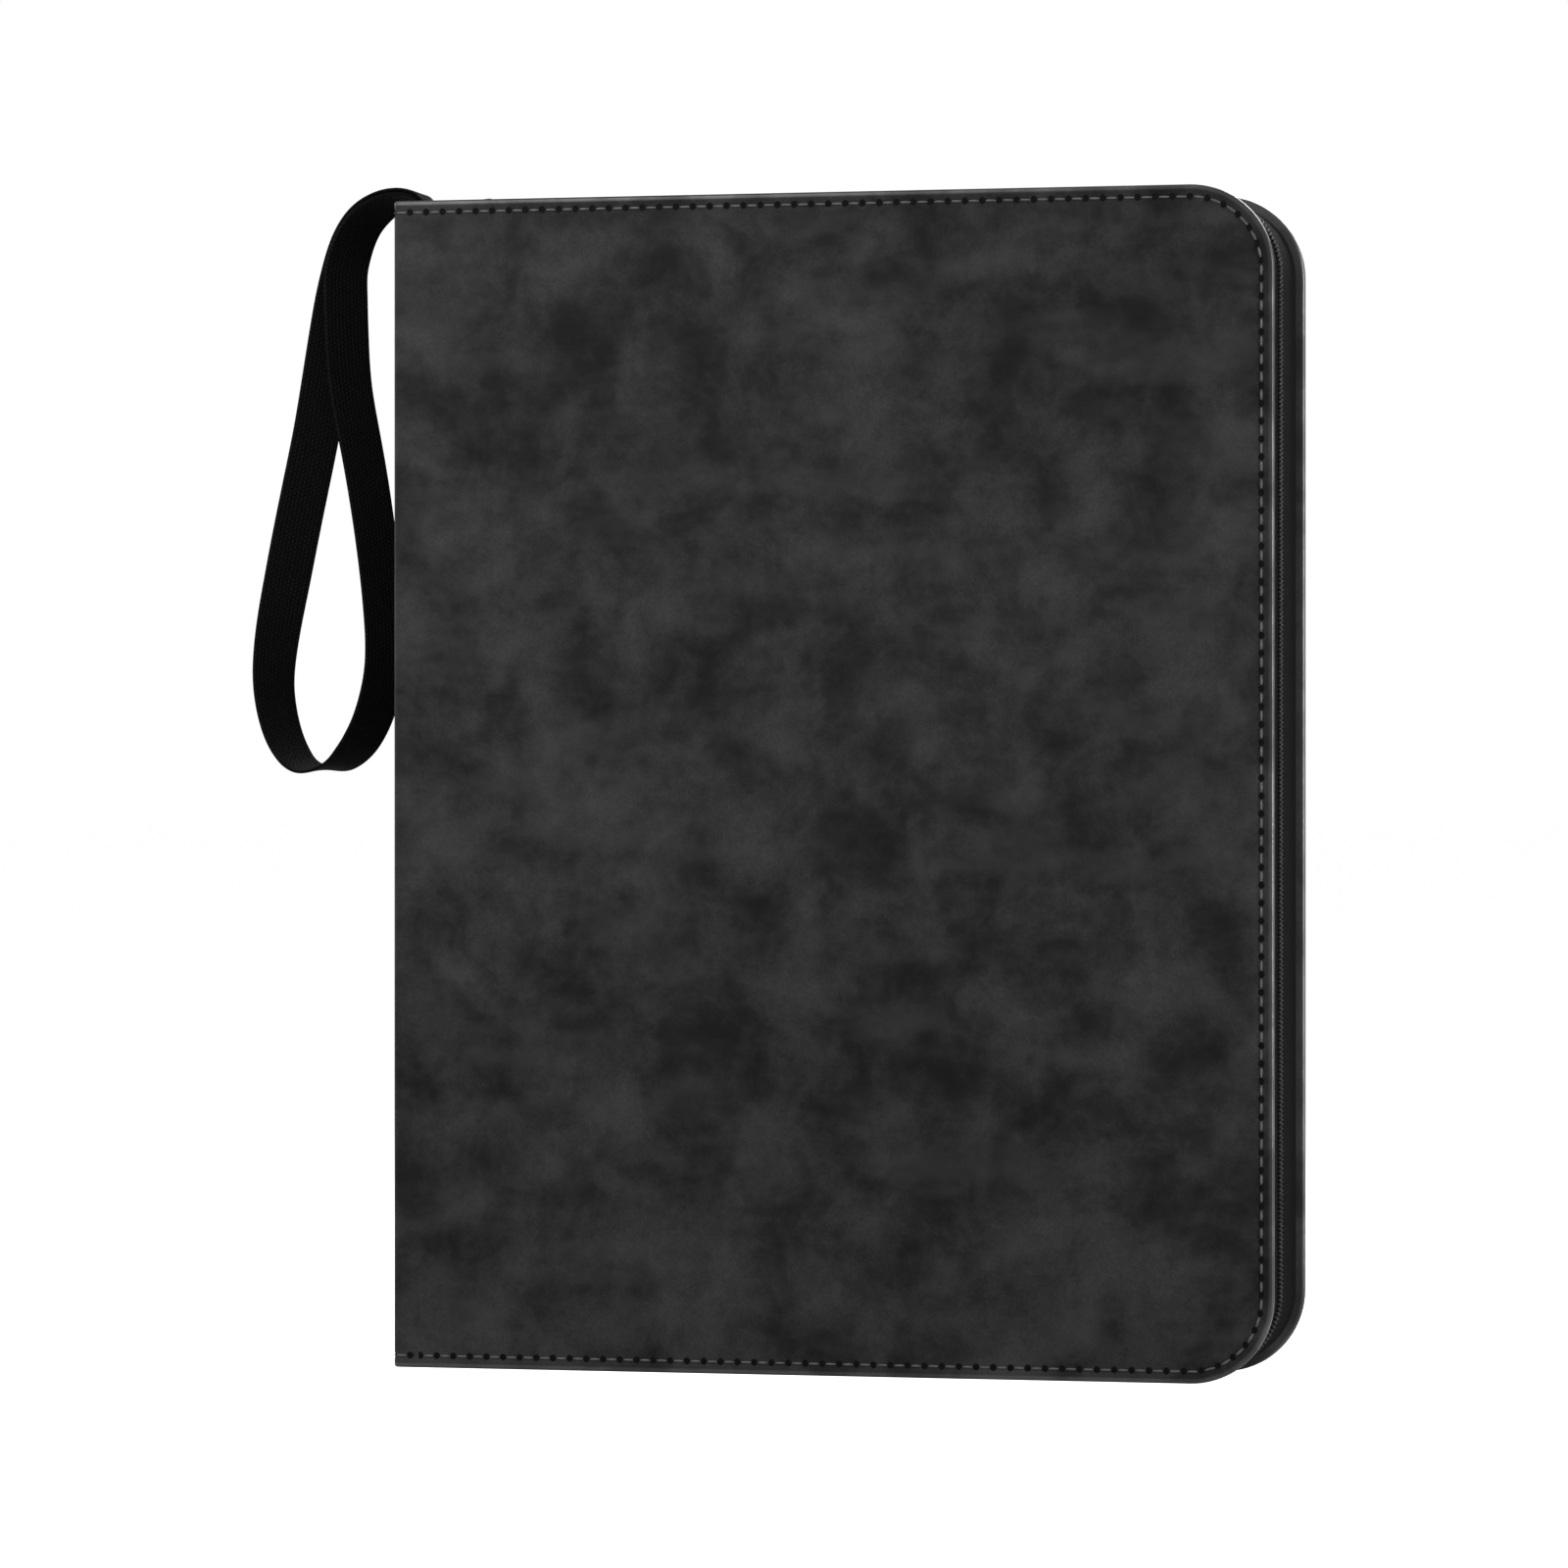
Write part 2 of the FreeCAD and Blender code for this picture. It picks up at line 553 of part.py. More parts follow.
keep(housing, "ring_housing")

rivets = []
for place in RIVET_ZS:
    pieces = (
        (f"{OUTER_X} + Sizes.skin_thick", "Sizes.rivet_head", "Sizes.rivet_flat"),
        (f"{OUTER_X} + Sizes.skin_thick", "Sizes.rivet_shank",
         f"{HOUSING_TOP} - {OUTER_X} - Sizes.rivet_inset"),
        (f"{HOUSING_TOP}", "Sizes.rivet_head", "Sizes.rivet_flat"),
    )
    stack = []
    for start, radius, height in pieces:
        disc = bind(doc.addObject("Part::Cylinder", "rivet_piece"), Radius=radius, Height=height)
        disc.Placement = FreeCAD.Placement(FreeCAD.Vector(), FreeCAD.Rotation(FreeCAD.Vector(0, 1, 0), 90))
        disc.setExpression(".Placement.Base.x", start)
        disc.setExpression(".Placement.Base.z", place)
        stack.append(disc)
    rivet = doc.addObject("Part::MultiFuse", "rivet")
    rivet.Shapes = stack
    rivets.append(rivet)
group = doc.addObject("Part::Compound", "housing_rivets")
group.Links = rivets
keep(group, "housing_rivets")


def half_rings(side):
    """Three half rings, from the meeting tips down to their feet in the blade."""
    depth = f"({RING_RISE} - Sizes.blade_lift - Sizes.foot_lift)"
    foot = f"acos({depth} / (Sizes.ring_radius + Sizes.ring_wire))"
    wires = []
    for place in RING_ZS:
        wire = bind(doc.addObject("Part::Torus", "half_ring"), Radius1="Sizes.ring_radius",
                    Radius2="Sizes.ring_wire", Angle3=f"180 deg - {foot} - 1 deg * Sizes.ring_split")
        turn = f"{foot} + 180 deg" if side == FRONT else "1 deg * Sizes.ring_split"
        wire.Placement = FreeCAD.Placement(FreeCAD.Vector(), FreeCAD.Rotation(FreeCAD.Vector(0, 0, 1), 1))
        wire.setExpression(".Placement.Base.x", RING_X)
        wire.setExpression(".Placement.Base.z", place)
        wire.setExpression(".Placement.Rotation.Angle", turn)
        wires.append(wire)
    return wires


def blade(side, name):
    wires = doc.addObject("Part::Compound", f"half_rings_{name}")
    wires.Links = half_rings(side)
    plate = new_body(f"blade_plate_{name}")
    strip = new_sketch(plate, "YZ_Plane", f"{INNER_X} + Sizes.blade_lift")
    low, high = f"({MID_Z} - Sizes.blade_long / 2)", f"({MID_Z} + Sizes.blade_long / 2)"
    inner, outer = f"({-side} * Sizes.blade_gap)", f"({-side} * Sizes.blade_half)"
    notch = f"({-side} * (Sizes.rivet_head + Sizes.blade_notch))"
    corners = [(outer, low), (inner, low)]
    for place in RIVET_ZS:
        below, above = f"({place} - Sizes.rivet_head)", f"({place} + Sizes.rivet_head)"
        corners += [(inner, below), (notch, below), (notch, above), (inner, above)]
    outline(strip, corners + [(inner, high), (outer, high)])
    pad(plate, strip, "Sizes.blade_thick")
    cut = doc.addObject("Part::Cut", f"ring_blade_{name}")
    cut.Base = plate
    cut.Tool = wires
    keep(cut, f"ring_blade_{name}")
    keep(wires, f"half_rings_{name}")


blade(FRONT, "front")
blade(REAR, "rear")

for sign, name in ((BOTTOM, "bottom"), (TOP, "top")):
    place = f"({MID_Z} + ({sign}) * Sizes.lever_place)"
    slope = "tan(Sizes.lever_slope * 1 deg)"
    half = f"(Sizes.lever_thick / 2 / cos(Sizes.lever_slope * 1 deg))"
    lever = new_body(f"{name}_lever")
    side_view = new_sketch(lever, "XZ_Plane", "-Sizes.lever_half")
    corners = []
    for reach, edge in (("-Sizes.lever_inner", -1), ("Sizes.lever_outer", -1),
                        ("Sizes.lever_outer", 1), ("-Sizes.lever_inner", 1)):
        across = f"{LEVER_X} + {reach} * {slope} + ({edge}) * {half}"
        corners.append((across, f"{place} + ({sign}) * ({reach})"))
    outline(side_view, corners)
    pad(lever, side_view, "2 * Sizes.lever_half")
    hub = new_sketch(lever, "XZ_Plane", "-Sizes.lever_half")
    circle(hub, LEVER_X, place, "Sizes.lever_hub")
    pad(lever, hub, "2 * Sizes.lever_half")
    bore = new_sketch(lever, "XZ_Plane", "Sizes.lever_half + Sizes.cut_lead")
    circle(bore, LEVER_X, place, "Sizes.lever_bore")
    pocket(lever, bore, "2 * Sizes.lever_half + 2 * Sizes.cut_lead")
    keep(lever, f"{name}_lever")

pins = []
for sign in (BOTTOM, TOP):
    pin = bind(doc.addObject("Part::Cylinder", "lever_pin"), Radius="Sizes.lever_pin",
               Height="2 * Sizes.housing_half")
    pin.Placement = FreeCAD.Placement(FreeCAD.Vector(), FreeCAD.Rotation(FreeCAD.Vector(1, 0, 0), 90))
    pin.setExpression(".Placement.Base.x", LEVER_X)
    pin.setExpression(".Placement.Base.y", "Sizes.housing_half")
    pin.setExpression(".Placement.Base.z", f"{MID_Z} + ({sign}) * Sizes.lever_place")
    pins.append(pin)
group = doc.addObject("Part::Compound", "lever_pins")
group.Links = pins
keep(group, "lever_pins")

# ---------------------------------------------------------------- pages
# Each page is a thin pocket sheet that hangs on the three rings by round holes near its inner
# edge. The pages lie side by side, half of them on each side of the rings' meeting line.
for number in range(PAGE_COUNT):
    label = f"page_{number + 1:02d}"
    page = new_body(label)
    middle = f"({number} - {(PAGE_COUNT - 1) / 2}) * Sizes.page_pitch"
    face = new_sketch(page, "XZ_Plane", f"-({middle}) - Sizes.page_thick / 2")
    near = f"({RING_X} + Sizes.page_edge)"
    rectangle(face, near, f"{near} + Sizes.page_width",
              f"{MID_Z} - Sizes.page_height / 2", f"{MID_Z} + Sizes.page_height / 2")
    for place in RING_ZS:
        circle(face, f"{RING_X} + Sizes.ring_radius + Sizes.page_hole_shift", place, "Sizes.page_hole")
    pad(page, face, "Sizes.page_thick")
    keep(page, label)

# ---------------------------------------------------------------- wrist strap
# One length of flat webbing, folded into a loop. Both ends are sewn side by side into the top of
# the spine as the tail. The loop bends over the spine's top edge and parts into two legs, the outer
# one turned towards the rear cover and the inner one towards the front. It closes with a turn below.
top = value("Sizes.cover_height")
half_width = value("Sizes.strap_width") / 2
half_thick = value("Sizes.strap_thick") / 2
ply_offset = half_thick + value("Sizes.strap_ply_gap") / 2
tail_x = value(f"{OUTER_X} + Sizes.skin_thick + Sizes.board_thick / 2")

tails = []
for sign in (BOTTOM, TOP):
    ply = bind(doc.addObject("Part::Box", "strap_ply"), Length="Sizes.strap_thick",
               Width="Sizes.strap_width", Height="Sizes.strap_tail")
    shift = f"({sign}) * (Sizes.strap_thick + Sizes.strap_ply_gap) / 2 - Sizes.strap_thick / 2"
    ply_x = f"{OUTER_X} + Sizes.skin_thick + Sizes.board_thick / 2 + {shift}"
    ply.setExpression(".Placement.Base.x", ply_x)
    ply.setExpression(".Placement.Base.y", "-Sizes.strap_width / 2")
    ply.setExpression(".Placement.Base.z", "Sizes.cover_height - Sizes.strap_tail")
    tails.append(ply)
group = doc.addObject("Part::Compound", "strap_tail")
group.Links = tails
keep(group, "strap_tail")

# The middle of the webbing from the tail's end round the loop: x from the tail, z from the top of
# the spine, and the angle of its width in degrees, where 90 lies straight from front to rear.
CREST = [
    (0.0, 1.35, 90), (-0.9, 2.7, 90), (-3.0, 3.6, 92), (-6.2, 3.7, 97), (-9.8, 2.8, 104),
    (-13.4, 1.0, 112), (-17.0, -1.4, 118), (-20.0, -4.4, 122), (-22.4, -8.4, 126), (-24.3, -13.2, 130),
    (-25.9, -19.2, 133),
]
OUTER_LEG = [
    (-27.3, -25.2, 136), (-28.5, -31.3, 138), (-31.0, -46.5, 141), (-33.9, -64.9, 143),
    (-36.5, -77.1, 143), (-39.2, -89.4, 143), (-41.8, -101.6, 143), (-44.2, -113.9, 142),
    (-46.7, -126.1, 138), (-48.2, -137.4, 132), (-48.4, -144.5, 128), (-47.7, -150.7, 126),
    (-46.3, -156.8, 124), (-44.6, -161.4, 121), (-42.9, -164.5, 118), (-40.7, -167.6, 114),
    (-37.6, -169.9, 105),
]
TURN = [(-33.2, -170.7, 92)]
INNER_LEG = [
    (-28.8, -169.4, 78), (-26.0, -167.6, 69), (-22.8, -164.6, 62), (-20.4, -161.4, 58),
    (-17.8, -156.8, 56), (-15.6, -150.8, 54), (-14.0, -144.7, 53), (-13.1, -138.6, 52),
    (-13.0, -132.4, 52), (-13.3, -126.3, 52), (-14.4, -114.1, 52), (-16.0, -101.8, 52),
    (-17.8, -89.6, 51), (-19.9, -77.3, 50), (-22.4, -65.0, 49), (-24.2, -55.8, 48), (-25.1, -46.6, 47),
    (-25.5, -37.4, 46), (-25.7, -31.3, 46), (-25.8, -25.2, 46),
]


def strap_route():
    """Centre points, width directions and normals of the webbing, all the way round the loop."""
    stations = [(x, z, turn, 1) for x, z, turn in CREST]
    stations += [(x, z, turn, 1) for x, z, turn in OUTER_LEG]
    stations += [(x, z, turn, 0) for x, z, turn in TURN]
    stations += [(x, z, turn, -1) for x, z, turn in INNER_LEG]
    stations += [(x, z, 180 - turn, -1) for x, z, turn in reversed(CREST)]
    flat = [FreeCAD.Vector(tail_x + x, 0, top + z) for x, z, _, _ in stations]
    route = []
    for index, (x, z, turn, ply) in enumerate(stations):
        before = flat[max(index - 1, 0)]
        after = flat[min(index + 1, len(flat) - 1)]
        along = (after - before).normalize()
        if index in (0, len(flat) - 1):
            along = FreeCAD.Vector(0, 0, 1 if index == 0 else -1)
        across = FreeCAD.Vector(0, 1, 0).cross(along).normalize()
        angle = math.radians(turn)
        width = across * math.cos(angle) + FreeCAD.Vector(0, 1, 0) * math.sin(angle)
        normal = width.cross(along).normalize()
        route.append((flat[index], width, normal, ply))
    return route


def strap_section(centre, width, normal):
    corners = [centre + width * (half_width * w) + normal * (half_thick * t)
               for w, t in ((-1, -1), (1, -1), (1, 1), (-1, 1), (-1, -1))]
    return Part.makePolygon(corners)


sections = []
for centre, width, normal, ply in strap_route():
    sections.append(strap_section(centre + normal * (ply_offset * abs(ply)), width, normal))
strap = doc.addObject("Part::Feature", "wrist_strap")
strap.Shape = Part.makeLoft(sections, True, True)
keep(strap, "wrist_strap")

# ---------------------------------------------------------------- checks and export
doc.recompute()
for item in doc.Objects:
    if "Invalid" in item.State or "Error" in item.State:
        raise ValueError(f"{item.Label} did not build: {item.State}")
for item in nodes:
    if item.Shape.isNull() or not item.Shape.isValid():
        raise ValueError(f"{item.Label} has no valid shape")

os.makedirs("parts", exist_ok=True)
for item in nodes:
    item.Shape.exportStep(os.path.join("parts", f"{item.Label}.step"))
print(len(nodes), "pieces")
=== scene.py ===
import math

import bmesh
import bpy
from mathutils import Matrix, Vector


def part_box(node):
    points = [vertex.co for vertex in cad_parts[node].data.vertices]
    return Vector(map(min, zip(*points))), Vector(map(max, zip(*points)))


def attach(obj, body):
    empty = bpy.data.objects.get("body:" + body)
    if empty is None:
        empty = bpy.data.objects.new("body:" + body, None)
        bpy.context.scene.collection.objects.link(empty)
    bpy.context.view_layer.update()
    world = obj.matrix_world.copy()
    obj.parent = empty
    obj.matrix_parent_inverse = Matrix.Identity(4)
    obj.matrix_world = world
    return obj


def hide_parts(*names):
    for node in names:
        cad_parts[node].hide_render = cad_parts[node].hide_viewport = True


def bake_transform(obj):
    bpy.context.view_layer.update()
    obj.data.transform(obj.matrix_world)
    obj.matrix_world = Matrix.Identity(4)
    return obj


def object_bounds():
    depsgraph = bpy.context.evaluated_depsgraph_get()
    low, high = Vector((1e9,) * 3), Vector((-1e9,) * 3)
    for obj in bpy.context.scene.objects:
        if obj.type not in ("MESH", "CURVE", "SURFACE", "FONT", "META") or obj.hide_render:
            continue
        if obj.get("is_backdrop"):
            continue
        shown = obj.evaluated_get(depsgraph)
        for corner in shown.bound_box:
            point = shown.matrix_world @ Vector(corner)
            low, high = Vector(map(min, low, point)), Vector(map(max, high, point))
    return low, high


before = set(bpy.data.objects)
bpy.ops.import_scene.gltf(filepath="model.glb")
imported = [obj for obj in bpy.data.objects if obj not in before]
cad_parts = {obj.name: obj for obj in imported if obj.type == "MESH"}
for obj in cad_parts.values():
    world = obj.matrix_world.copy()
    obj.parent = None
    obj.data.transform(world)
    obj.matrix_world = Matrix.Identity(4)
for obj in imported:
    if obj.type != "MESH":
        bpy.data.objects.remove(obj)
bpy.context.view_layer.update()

# ---------------------------------------------------------------- cover skins
# Each cover is wrapped in one sheet of suede-look polyurethane, black-grey and cloudy. The sheet is
# turned over the board at the three free edges, and one row of stitches holds it down in a groove.
skin_low, skin_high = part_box("front_cover_skin")
spine_x, zip_x = skin_low.x, skin_high.x
bottom_z, top_z = skin_low.z, skin_high.z
front_y = skin_low.y
CORNER_RADIUS = 0.025
CORNER_STEPS = 20
SHEET = 0.0010
RIM_DEPTH = skin_high.y - skin_low.y
RIM_WIDTH = 0.0096
HINGE_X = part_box("front_cover_board")[0].x
EDGE_ROUNDING = 0.0009
ROUNDING_STEPS = 4
SEAM_INSET = 0.0036
SEAM_HALF = 0.0012
SEAM_DEPTH = 0.00030
STITCH_PITCH = 0.0052
TOP_RUN = zip_x - CORNER_RADIUS - spine_x
SIDE_RUN = top_z - bottom_z - 2 * CORNER_RADIUS
SHARP_ANGLE = math.radians(38)
OUTWARDS, INWARDS = (0, -1, 0), (0, 1, 0)


def edge_place(distance, inset, y):
    """A place on the line round a cover's free edges: along the top from the spine, down the zip
    edge and back along the bottom. Its own X runs along the line and its Z points outwards."""
    radius = CORNER_RADIUS - inset
    arc = radius * math.pi / 2
    upper = Vector((zip_x - CORNER_RADIUS, 0, top_z - CORNER_RADIUS))
    lower = Vector((zip_x - CORNER_RADIUS, 0, bottom_z + CORNER_RADIUS))
    if distance < TOP_RUN:
        turn, place = 0.0, Vector((spine_x + distance, 0, top_z - inset))
    elif distance < TOP_RUN + arc:
        turn = (distance - TOP_RUN) / radius
        place = upper + Vector((math.sin(turn), 0, math.cos(turn))) * radius
    elif distance < TOP_RUN + arc + SIDE_RUN:
        turn = math.pi / 2
        place = upper + Vector((radius, 0, -(distance - TOP_RUN - arc)))
    elif distance < TOP_RUN + 2 * arc + SIDE_RUN:
        turn = math.pi / 2 + (distance - TOP_RUN - arc - SIDE_RUN) / radius
        place = lower + Vector((math.sin(turn), 0, math.cos(turn))) * radius
    else:
        turn = math.pi
        place = lower + Vector((-(distance - TOP_RUN - 2 * arc - SIDE_RUN), 0, -radius))
    place.y = y
    return Matrix.Translation(place) @ Matrix.Rotation(turn, 4, "Y")


def edge_length(inset):
    """The length of that line from end to end."""
    return 2 * TOP_RUN + SIDE_RUN + (CORNER_RADIUS - inset) * math.pi


def distance_along(x, z):
    """How far along the seam a point beside it lies."""
    radius = CORNER_RADIUS - SEAM_INSET
    arc = radius * math.pi / 2
    over_x = x - (zip_x - CORNER_RADIUS)
    over_top = z - (top_z - CORNER_RADIUS)
    over_bottom = (bottom_z + CORNER_RADIUS) - z
    if over_x <= 0:
        run = x - spine_x
        return run if over_top > over_bottom else 2 * TOP_RUN + 2 * arc + SIDE_RUN - run
    if over_top > 0:
        return TOP_RUN + math.atan2(over_x, over_top) * radius
    if over_bottom > 0:
        return TOP_RUN + arc + SIDE_RUN + math.atan2(over_bottom, over_x) * radius
    return TOP_RUN + arc - over_top


def finished(bm, name, body, material):
    """Turns the bmesh into an object with its normals pointing outwards, riding on a body if given."""
    bmesh.ops.recalc_face_normals(bm, faces=bm.faces)
    mesh = bpy.data.meshes.new(name)
    bm.to_mesh(mesh)
    bm.free()
    piece = bpy.data.objects.new(name, mesh)
    bpy.context.scene.collection.objects.link(piece)
    mesh.materials.append(material)
    mesh.shade_smooth()
    mesh.set_sharp_from_angle(angle=SHARP_ANGLE)
    if body:
        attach(piece, body)
    return piece


def mirrored(bm):
    """Turns a piece of the front half into the same piece of the rear half."""
    bmesh.ops.scale(bm, vec=(1, -1, 1), verts=bm.verts)
    bmesh.ops.reverse_faces(bm, faces=bm.faces)


def rounded_off(bm, geometry, offset, segments, affect="EDGES"):
    """Rounds edges, or the corners of a flat outline."""
    bmesh.ops.bevel(bm, geom=geometry, offset=offset, offset_type="OFFSET", affect=affect,
                    segments=segments, profile=0.5, material=-1)


def shifted(bm, grown, shift):
    """Moves the new end of an extrusion, and gives its vertices."""
    moved = [item for item in grown["geom"] if isinstance(item, bmesh.types.BMVert)]
    bmesh.ops.translate(bm, vec=shift, verts=moved)
    return moved


def grow(bm, faces, shift):
    """Extrudes faces along a line, and gives the new end's vertices."""
    return shifted(bm, bmesh.ops.extrude_face_region(bm, geom=faces), shift)


def edges_of(items):
    """Every edge that meets some vertices or bounds some faces, each once and in a fixed order."""
    found = [item.link_edges if isinstance(item, bmesh.types.BMVert) else item.edges for item in items]
    return list(dict.fromkeys(edge for edges in found for edge in edges))


def node(tree, kind, inputs=(), **settings):
    """Adds a shader node, with settings and with values or links for its inputs."""
    made = tree.nodes.new(kind)
    for name, value in settings.items():
        setattr(made, name, value)
    for socket, value in dict(inputs).items():
        if isinstance(value, bpy.types.NodeSocket):
            tree.links.new(value, made.inputs[socket])
        else:
            made.inputs[socket].default_value = value
    return made


def maths(tree, operation, first, second=0.0, third=0.0):
    return node(tree, "ShaderNodeMath", {0: first, 1: second, 2: third}, operation=operation).outputs[0]


def smooth_range(tree, value, low, high, to_low=0.0, to_high=1.0):
    """A value eased from one range into another."""
    inputs = {"Value": value, "From Min": low, "From Max": high, "To Min": to_low, "To Max": to_high}
    return node(tree, "ShaderNodeMapRange", inputs, interpolation_type="SMOOTHSTEP").outputs[0]


def noise(tree, vector, scale, detail, **values):
    """A noise texture's value."""
    inputs = {"Vector": vector, "Scale": scale, "Detail": detail, **values}
    return node(tree, "ShaderNodeTexNoise", inputs).outputs["Fac"]


def object_place(tree):
    """The place on the piece, in metres."""
    return node(tree, "ShaderNodeTexCoord").outputs["Object"]


def mix_colour(tree, factor, first, second, blend="MIX"):
    mix = node(tree, "ShaderNodeMix", {0: factor, 6: first, 7: second}, data_type="RGBA", blend_type=blend)
    return mix.outputs[2]


def material_of(name, **values):
    """A new material with constant values set on its Principled shader."""
    material = bpy.data.materials.new(name)
    material.use_nodes = True
    shader = material.node_tree.nodes["Principled BSDF"]
    for socket, value in values.items():
        shader.inputs[socket.replace("_", " ")].default_value = value
    return material, material.node_tree, shader


def feed(shader, socket, value):
    """Links a value to one of the shader's sockets."""
    shader.id_data.links.new(value, shader.inputs[socket])


def add_bump(tree, shader, height, strength, distance):
    inputs = {"Height": height, "Strength": strength, "Distance": distance}
    feed(shader, "Normal", node(tree, "ShaderNodeBump", inputs).outputs[0])


def new_group(name, inputs, outputs):
    """An empty shader node group with float inputs (vector where the default is one) and outputs."""
    group = bpy.data.node_groups.new(name, "ShaderNodeTree")
    for socket, default in inputs.items():
        kind = "NodeSocketVector" if socket == "Vector" else "NodeSocketFloat"
        made = group.interface.new_socket(socket, in_out="INPUT", socket_type=kind)
        if socket != "Vector":
            made.default_value = default
    for socket in outputs:
        group.interface.new_socket(socket, in_out="OUTPUT", socket_type="NodeSocketFloat")
    return group, group.nodes.new("NodeGroupInput"), group.nodes.new("NodeGroupOutput")


CLOUD_LAYERS = ((0.33, 0.34, 2.0), (1.0, 0.52, 4.0), (5.0, 0.14, 3.0))


def clouded_nap():
    """Clouds of lighter and darker nap, and the short fibres' grain, both from 0 to 1. Each layer of
    the clouds has its share of the scale, its weight and its detail."""
    group, given, out = new_group(
        "clouded_nap", {"Vector": None, "Cloud Scale": 60.0, "Grain Scale": 1400.0}, ("Cloud", "Grain"))
    vector = given.outputs["Vector"]
    total = 0.0
    for share, weight, detail in CLOUD_LAYERS:
        scale = maths(group, "MULTIPLY", given.outputs["Cloud Scale"], share)
        layer = noise(group, vector, scale, detail, Roughness=0.56, Distortion=0.35)
        total = maths(group, "MULTIPLY_ADD", layer, weight, total)
    grain = noise(group, vector, given.outputs["Grain Scale"], 4.0, Roughness=0.7)
    group.links.new(smooth_range(group, total, 0.36, 0.67), out.inputs["Cloud"])
    group.links.new(grain, out.inputs["Grain"])
    return group


nap = clouded_nap()
SUEDE_DARK = (0.0050, 0.0050, 0.0052, 1)
SUEDE_LIGHT = (0.0345, 0.0345, 0.0352, 1)
# The lighter shade of the rubbed smears, also used as the painted highlight along the edges.
SUEDE_RUBBED_AND_HIGHLIGHT = (0.0480, 0.0480, 0.0488, 1)
# Near-black painted shade for the needle holes, which are only a bump.
HOLE_SHADE = (0.0008, 0.0008, 0.0008, 1)
HOLE_RADIUS = 0.00108
HOLE_DEPTH = 0.0006
GRAIN_LIFT = 0.00009
WAVE_LIFT = 0.00045
SMEARS = ((0.9, 0.20), (-0.6, 0.16))


def needle_hole(tree, run, v):
    """1 in the round hole between two stitches and 0 outside it, from the seam's map."""
    beat = maths(tree, "ABSOLUTE", maths(tree, "SUBTRACT", maths(tree, "FRACT", run), 0.5))
    along = maths(tree, "MULTIPLY", maths(tree, "SUBTRACT", 0.5, beat), STITCH_PITCH)
    across = maths(tree, "MULTIPLY", maths(tree, "SUBTRACT", 1.0, v), SEAM_HALF)
    squares = maths(tree, "MULTIPLY_ADD", along, along, maths(tree, "MULTIPLY", across, across))
    return smooth_range(tree, maths(tree, "SQRT", squares), 0.75 * HOLE_RADIUS, 1.1 * HOLE_RADIUS, 1.0, 0.0)


def suede_leatherette():
    """Black-grey brushed polyurethane: cloudy nap, fine grain, faint rubbed smears, needle holes along
    the seam painted near-black as shade, and burnished edges, glossy and painted lighter as a highlight.
    The seam's UV map gives the place of the holes and of the edges."""
    material, tree, shader = material_of(
        "suede_leatherette", Specular_IOR_Level=0.12, Sheen_Weight=0.02, Sheen_Roughness=0.5,
        Coat_Roughness=0.30)
    place = object_place(tree)
    scales = {"Vector": place, "Cloud Scale": 46.0, "Grain Scale": 1500.0}
    soft = node(tree, "ShaderNodeGroup", scales, node_tree=nap)
    cloud, grain = soft.outputs["Cloud"], soft.outputs["Grain"]
    colour = mix_colour(tree, cloud, SUEDE_DARK, SUEDE_LIGHT)
    speck = smooth_range(tree, grain, 0.3, 0.72, 0.80, 1.20)
    colour = mix_colour(tree, 1.0, colour, speck, blend="MULTIPLY")

    for lean, share in SMEARS:
        smear = node(tree, "ShaderNodeMapping", {
            "Vector": place, "Location": (share, 0, 0), "Rotation": (0, lean, 0), "Scale": (24, 24, 70)})
        rubbed = smooth_range(tree, noise(tree, smear.outputs[0], 1.0, 4.0), 0.52, 0.72, 0.0, share)
        colour = mix_colour(tree, rubbed, colour, SUEDE_RUBBED_AND_HIGHLIGHT)

    seam_map = node(tree, "ShaderNodeUVMap", uv_map="seam").outputs[0]
    run, v, _ = node(tree, "ShaderNodeSeparateXYZ", {0: seam_map}).outputs
    hole = needle_hole(tree, run, v)
    # Along the edges the suede gets a glossy coat, and its colour is lifted towards the lighter shade as a
    # painted highlight.
    edge = smooth_range(tree, maths(tree, "MULTIPLY", v, -1.0), 0.45, 1.0)
    burnish_and_highlight = maths(tree, "MULTIPLY", edge, smooth_range(tree, cloud, 0.0, 0.8, 0.45, 1.0))
    colour = mix_colour(tree, maths(tree, "MULTIPLY", burnish_and_highlight, 0.6), colour, SUEDE_RUBBED_AND_HIGHLIGHT)
    # The needle holes are painted near-black as shade.
    colour = mix_colour(tree, hole, colour, HOLE_SHADE)
    feed(shader, "Base Color", colour)
    feed(shader, "Coat Weight", maths(tree, "MULTIPLY", burnish_and_highlight, 0.90))
    feed(shader, "Roughness", smooth_range(tree, cloud, 0.0, 1.0, 0.76, 0.9))

    fine = maths(tree, "MULTIPLY", grain, GRAIN_LIFT)
    height = maths(tree, "MULTIPLY_ADD", noise(tree, place, 24.0, 1.0), WAVE_LIFT, fine)
    add_bump(tree, shader, maths(tree, "MULTIPLY_ADD", hole, -HOLE_DEPTH, height), 1.0, 1.0)
    return material


suede = suede_leatherette()


def outline_face(bm):
    """The cover's outline as one face, rounded at the zip side and running on past the spine."""
    left = spine_x - 2 * CORNER_RADIUS
    corners = ((left, bottom_z), (zip_x, bottom_z), (zip_x, top_z), (left, top_z))
    verts = [bm.verts.new((x, front_y, z)) for x, z in corners]
    bm.faces.new(verts)
    rounded_off(bm, verts[1:3], CORNER_RADIUS, CORNER_STEPS, "VERTICES")
    return bm.faces[:]


def facing(bm, direction):
    """The largest face of the mesh that looks along a direction."""
    bm.normal_update()
    found = [face for face in bm.faces if face.normal.dot(Vector(direction)) > 0.99]
    return max(found, key=lambda face: face.calc_area())


